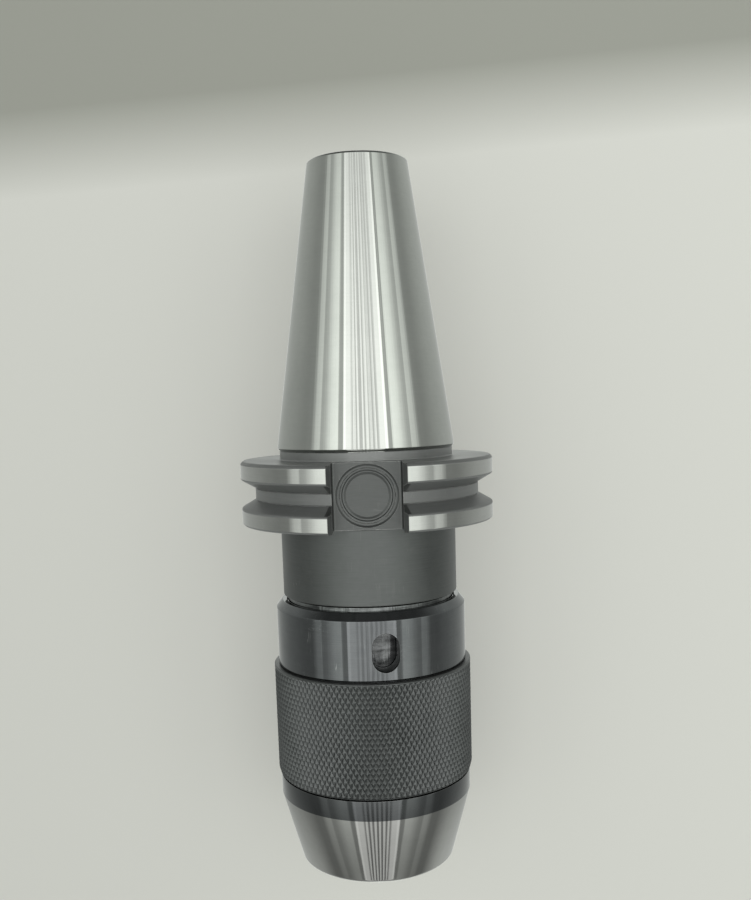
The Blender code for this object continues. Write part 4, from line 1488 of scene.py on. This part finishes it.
@dataclass
class StudThread:
    """Thread in the shank's small end that takes the retention stud."""

    depth: float = 31.0 * MM
    entry: float = 5.6 * MM
    pitch: float = 2.0 * MM
    radius: float = 7.15 * MM
    ridge: float = 0.62 * MM
    turn_parts: int = 48
    ridge_sides: int = 8

    def build_tree(self) -> bpy.types.NodeTree:
        """Builds the geometry node tree that winds a ridge up the bore.

        Returns:
            The node tree.
        """
        sizes = ("Foot", "Length", "Pitch", "Radius", "Ridge")
        counts = ("Turn Parts", "Ridge Sides")
        graph, given = new_geometry("stud_thread", counts=counts, sizes=sizes)
        path = {
            "Resolution": given["Turn Parts"],
            "Rotations": graph.math("DIVIDE", given["Length"], given["Pitch"]),
            "Start Radius": given["Radius"],
            "End Radius": given["Radius"],
            "Height": given["Length"],
        }
        spiral = graph.fed("GeometryNodeCurveSpiral", path)
        circle = {"Resolution": given["Ridge Sides"], "Radius": given["Ridge"]}
        section = graph.fed("GeometryNodeCurvePrimitiveCircle", circle, mode="RADIUS")
        sweep = {"Curve": spiral.outputs[0], "Profile Curve": section.outputs[0], "Fill Caps": True}
        swept = graph.fed("GeometryNodeCurveToMesh", sweep)
        lift = {"Geometry": swept.outputs[0], "Translation": graph.join(0.0, 0.0, given["Foot"])}
        raised = graph.fed("GeometryNodeTransform", lift)
        return close_geometry(graph, raised.outputs[0], given["Material"])

    def build(self) -> None:
        """Winds the thread and dresses it."""
        top = node_span("shank_body")[1]
        values = {
            "Foot": top - self.depth,
            "Length": self.depth - self.entry,
            "Pitch": self.pitch,
            "Radius": self.radius,
            "Ridge": self.ridge,
            "Turn Parts": self.turn_parts,
            "Ridge Sides": self.ridge_sides,
            "Material": BORE_STEEL.material(),
        }
        thread = run_tree("stud_thread", self.build_tree(), values)
        with reshaped(thread.data) as shape:
            bmesh.ops.recalc_face_normals(shape, faces=shape.faces)
        dress(thread, [BORE_STEEL])
        finish_piece(thread, Body.SHANK, "ground_steel")


@dataclass
class InnerParts:
    """CAD nodes that stay, each with a finish of its own."""

    # By the start of a node's name, the longer starts first
    finishes: dict[str, SurfaceFinish] = field(
        default_factory=lambda: {
            "jaw_guide": SCREW_STEEL,
            "jaw_screw": SCREW_STEEL,
            "thrust_nut": SCREW_STEEL,
            "front_race": RACE_STEEL,
            "rear_race": RACE_STEEL,
            "ball_cage": CAGE_BRASS,
            "jaw_": JAW_STEEL,
            "ball_": RACE_STEEL,
        }
    )

    def build(self) -> None:
        """Gives each node its material."""
        for name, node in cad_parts.items():
            key = next((key for key in self.finishes if name.startswith(key)), None)
            if key is None:
                continue
            finish = self.finishes[key]
            node.data.materials.clear()
            node.data.materials.append(finish.material())
            log.info("%s: %s", name, finish.name)


@dataclass
class Studio:
    """Pale floor that the chuck lies on, soft light all round it, and the camera."""

    floor_y: float = 31.8 * MM
    floor_size: float = 3.0
    floor_lift: float = 0.1
    floor_colour: Colour = (0.415, 0.417, 0.391)
    # Painted shade: above a soft tilted line near the top edge the sheet takes this darker colour,
    # in its lit colour and its glow alike
    floor_painted_shade: Colour = (0.207, 0.211, 0.188)
    # Painted light: the floor's colour is scaled up to the right and upwards, and down to the left
    # and downwards
    floor_light_lean: tuple[float, float] = (0.55, 0.35)
    light_lean_span: tuple[float, float] = (-0.10, 0.12)
    light_lean_levels: tuple[float, float] = (0.885, 1.075)
    shade_line_tilt: float = -0.07
    shade_line_span: tuple[float, float] = (0.183, 0.206)
    floor_glow: float = 0.52
    core_tint: Colour = (0.985, 1.0, 0.975)
    side_tint: Colour = (0.965, 1.0, 0.955)
    air_colour: Colour = (0.58, 0.60, 0.54)
    lens: float = 39.13
    shift_y: float = 0.10
    clip: tuple[float, float] = (0.01, 20.0)
    camera_place: tuple[float, float, float] = (0.0, -248.7 * MM, 118.9 * MM)
    yaw: float = 0.40
    pitch: float = 8.14
    roll: float = -1.76
    # Levels of the light: bands and rear by degrees round from the front, the others by degrees up
    bands: Stops = (
        (0.0, 1.70), (25.5, 1.70), (26.5, 2.20), (28.5, 2.20), (30.0, 0.42), (35.0, 0.42),
        (36.5, 1.50), (45.0, 1.30), (56.0, 0.45), (61.0, 0.36), (62.5, 0.80), (69.0, 0.62),
        (75.0, 0.03), (90.0, 0.0),
    )
    heights: Stops = (
        (-90.0, 0.10), (-60.0, 0.40), (-45.0, 0.44), (-30.0, 0.58), (-15.0, 0.80), (0.0, 0.95),
        (14.0, 1.0), (22.0, 0.90), (30.0, 0.62), (38.0, 0.20), (48.0, 0.04), (90.0, 0.0),
    )
    side_heights: Stops = (
        (-90.0, 0.10), (-56.0, 0.17), (-45.0, 0.26), (-30.0, 0.50), (-15.0, 0.80), (0.0, 0.95),
        (14.0, 1.0), (22.0, 0.85), (30.0, 0.50), (38.0, 0.20), (48.0, 0.04), (90.0, 0.0),
    )
    ambient: Stops = (
        (-90.0, 0.42), (-68.0, 0.32), (-56.0, 0.23), (-35.0, 0.26), (-15.0, 0.33), (0.0, 0.36),
        (14.0, 0.43), (30.0, 0.46), (42.0, 0.24), (52.0, 0.10), (90.0, 0.06),
    )
    rear: Stops = (
        (85.0, 0.0), (98.0, 0.07), (110.0, 0.13), (125.0, 0.17), (140.0, 0.18), (155.0, 0.17),
        (166.0, 0.16), (174.0, 0.45), (180.0, 0.60),
    )
    rear_heights: Stops = (
        (-90.0, 0.42), (-45.0, 0.70), (-25.0, 0.36), (0.0, 0.28), (30.0, 0.27), (60.0, 0.15),
    )
    rear_strength: float = 8.0
    rear_lean: float = 0.25
    core_reach: float = 29.0
    slat_reach: float = 18.0
    slat_fade: float = 1.8
    slat_pitch: float = 5.7
    slat_edge: float = 0.4
    slat_drift: float = 0.55
    # The slats turn uneven by this gain over this span, where 0 is straight down and 1 straight up
    drift_gain: float = 5.0
    drift_span: tuple[float, float] = (0.45, 0.55)
    slat_depth: Stops = (
        (-56.0, 1.0), (-30.0, 0.80), (-15.0, 0.40), (0.0, 0.25), (14.0, 0.55), (30.0, 0.50),
        (40.0, 0.0),
    )

    def build_floor(self) -> None:
        """Builds the floor, upright behind the chuck, which the back views look through."""
        half = 0.5 * self.floor_size
        floor = linked("floor", bpy.data.meshes.new("floor"))
        with reshaped(floor.data) as shape:
            corners = [(-half, -half), (half, -half), (half, half), (-half, half)]
            shape.faces.new(
                [shape.verts.new((x, self.floor_y, z + self.floor_lift)) for x, z in corners]
            )
        floor.data.materials.append(self.floor_material())
        floor.visible_diffuse = False
        floor.visible_glossy = False
        floor.visible_shadow = False

    def floor_material(self) -> bpy.types.Material:
        """Pale matt sheet, with painted shade that darkens it above a soft tilted line near its top
        edge, and painted light that brightens it to the right and upwards.

        Returns:
            The material.
        """
        made = bpy.data.materials.new("pale_floor")
        made.use_nodes = True
        graph = Graph(made.node_tree)
        shader = made.node_tree.nodes["Principled BSDF"]
        x, _, z = graph.split(graph.place())
        # Painted shade: the colour turns darker above a soft tilted line near the sheet's top edge
        tilted = graph.math("MULTIPLY_ADD", x, self.shade_line_tilt, z)
        painted_top_shade = graph.spread(tilted, *self.shade_line_span, 0.0, 1.0)
        colour = graph.mix(painted_top_shade, (*self.floor_colour, 1.0), (*self.floor_painted_shade, 1.0))
        # Painted light: the colour is scaled by place, brighter to the right and upwards, in its
        # lit colour and its glow alike
        across, along = self.floor_light_lean
        lean = graph.math("MULTIPLY_ADD", x, across, graph.math("MULTIPLY", z, along))
        lean = graph.spread(lean, *self.light_lean_span, *self.light_lean_levels)
        colour = graph.scale(colour, lean)
        camera = graph.node("ShaderNodeLightPath").outputs["Is Camera Ray"]
        for name, value in (
            ("Base Color", colour),
            ("Roughness", 0.9),
            ("Specular IOR Level", 0.1),
            ("Emission Color", colour),
            ("Emission Strength", graph.math("MULTIPLY", camera, self.floor_glow)),
        ):
            graph.feed(shader.inputs[name], value)
        clear = graph.node("ShaderNodeBsdfTransparent").outputs[0]
        back = graph.node("ShaderNodeNewGeometry").outputs["Backfacing"]
        seen_through = graph.math("MULTIPLY", back, camera)
        blend = graph.fed("ShaderNodeMixShader", {0: seen_through, 1: shader.outputs[0], 2: clear})
        graph.feed(made.node_tree.nodes["Material Output"].inputs["Surface"], blend.outputs[0])
        return made

    def build_light(self) -> None:
        """Draws the lights into the world by direction.

        Soft boxes and slats stand round the front. Behind the chuck the world is as bright as the
        floor, which reflections don't see.
        """
        world = bpy.data.worlds.new("studio")
        bpy.context.scene.world = world
        world.use_nodes = True
        graph = Graph(world.node_tree)
        world.node_tree.nodes.clear()
        x, y, z = graph.split(graph.node("ShaderNodeTexCoord").outputs["Generated"])
        turn = graph.math("DEGREES", graph.math("ARCTAN2", x, graph.math("MULTIPLY", y, -1.0)))
        side = graph.math("DIVIDE", graph.math("ABSOLUTE", turn), 180.0)
        rise = graph.math("DEGREES", graph.math("ARCSINE", z))
        rise = graph.math("DIVIDE", graph.math("ADD", rise, 90.0), 180.0)
        bands, rear = (
            graph.ramp(side, [(place / 180.0, level / RAMP_SCALE) for place, level in stops])
            for stops in (self.bands, self.rear)
        )
        core_heights, side_heights, ambient, depth, rear_heights = (
            graph.ramp(rise, [((place + 90.0) / 180.0, level) for place, level in stops])
            for stops in (
                self.heights, self.side_heights, self.ambient, self.slat_depth, self.rear_heights,
            )
        )
        rear = graph.math("MULTIPLY", rear, rear_heights)
        rear = graph.math("MULTIPLY", rear, self.rear_strength)
        rear = graph.math("MULTIPLY", rear, graph.math("MULTIPLY_ADD", x, self.rear_lean, 1.0))
        core_ends = (self.core_reach / 180.0, (self.core_reach + 1.0) / 180.0)
        in_core = graph.spread(side, *core_ends, 1.0, 0.0)
        heights = graph.mix(in_core, side_heights, core_heights)
        wave = graph.math("COSINE", graph.math("MULTIPLY", turn, math.tau / self.slat_pitch))
        drift = graph.join(graph.math("MULTIPLY", turn, self.slat_drift), 0.0, 0.0)
        uneven = graph.math("SUBTRACT", graph.noise(drift, 1.0, 2.0), 0.5)
        gain = graph.spread(rise, *self.drift_span, 0.0, self.drift_gain)
        wave = graph.math("MULTIPLY_ADD", uneven, gain, wave)
        ends = [(self.slat_reach + way * self.slat_fade) / 180.0 for way in (-1.0, 1.0)]
        inside = graph.spread(side, *ends, 1.0, 0.0)
        slats = graph.spread(wave, -self.slat_edge, self.slat_edge, 0.0, 1.0)
        slats = graph.math("MULTIPLY", slats, inside)
        shade = graph.math("SUBTRACT", 1.0, graph.math("MULTIPLY", slats, depth))
        lit = graph.math("MULTIPLY", graph.math("MULTIPLY", bands, heights), RAMP_SCALE)
        lit = graph.math("MULTIPLY", lit, shade)
        level = graph.math("ADD", lit, graph.math("ADD", ambient, rear))
        tint = graph.mix(in_core, (*self.side_tint, 1.0), (*self.core_tint, 1.0))
        studio = graph.fed("ShaderNodeBackground", {"Color": tint, "Strength": level}).outputs[0]
        air = graph.fed("ShaderNodeBackground", {"Color": (*self.air_colour, 1.0)}).outputs[0]
        camera = graph.node("ShaderNodeLightPath").outputs["Is Camera Ray"]
        blend = graph.fed("ShaderNodeMixShader", {0: camera, 1: studio, 2: air})
        graph.fed("ShaderNodeOutputWorld", {0: blend.outputs[0]})

    def build_camera(self) -> None:
        """Sets the camera at the photograph's viewing angle."""
        data = bpy.data.cameras.new("camera")
        camera = linked("camera", data)
        data.lens = self.lens
        data.shift_y = self.shift_y
        data.clip_start, data.clip_end = self.clip
        yaw, pitch, roll = (math.radians(angle) for angle in (self.yaw, self.pitch, self.roll))
        level = math.cos(pitch)
        ahead = Vector((math.sin(yaw) * level, math.cos(yaw) * level, -math.sin(pitch)))
        across = Vector((math.cos(yaw), -math.sin(yaw), 0.0))
        upright = across.cross(ahead)
        right = across * math.cos(roll) + upright * math.sin(roll)
        up = upright * math.cos(roll) - across * math.sin(roll)
        turn = Matrix((right, up, -ahead)).transposed().to_4x4()
        camera.matrix_world = Matrix.Translation(self.camera_place) @ turn
        bpy.context.scene.camera = camera

    def build(self) -> None:
        """Builds floor, light and camera, and sets the plain view transform."""
        self.build_floor()
        self.build_light()
        self.build_camera()
        bpy.context.scene.view_settings.view_transform = "Standard"


def main() -> None:
    """Builds the studio and the chuck's parts in order."""
    logging.basicConfig(level=logging.INFO, format="%(message)s")
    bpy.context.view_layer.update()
    for part in (
        Studio(),
        Shank(),
        SpannerSleeve(),
        KnurledGrip(),
        NoseCone(),
        DustSeal(),
        StudThread(),
        InnerParts(),
    ):
        log.info("building %s", type(part).__name__)
        part.build()


if __name__ == "__main__":
    main()
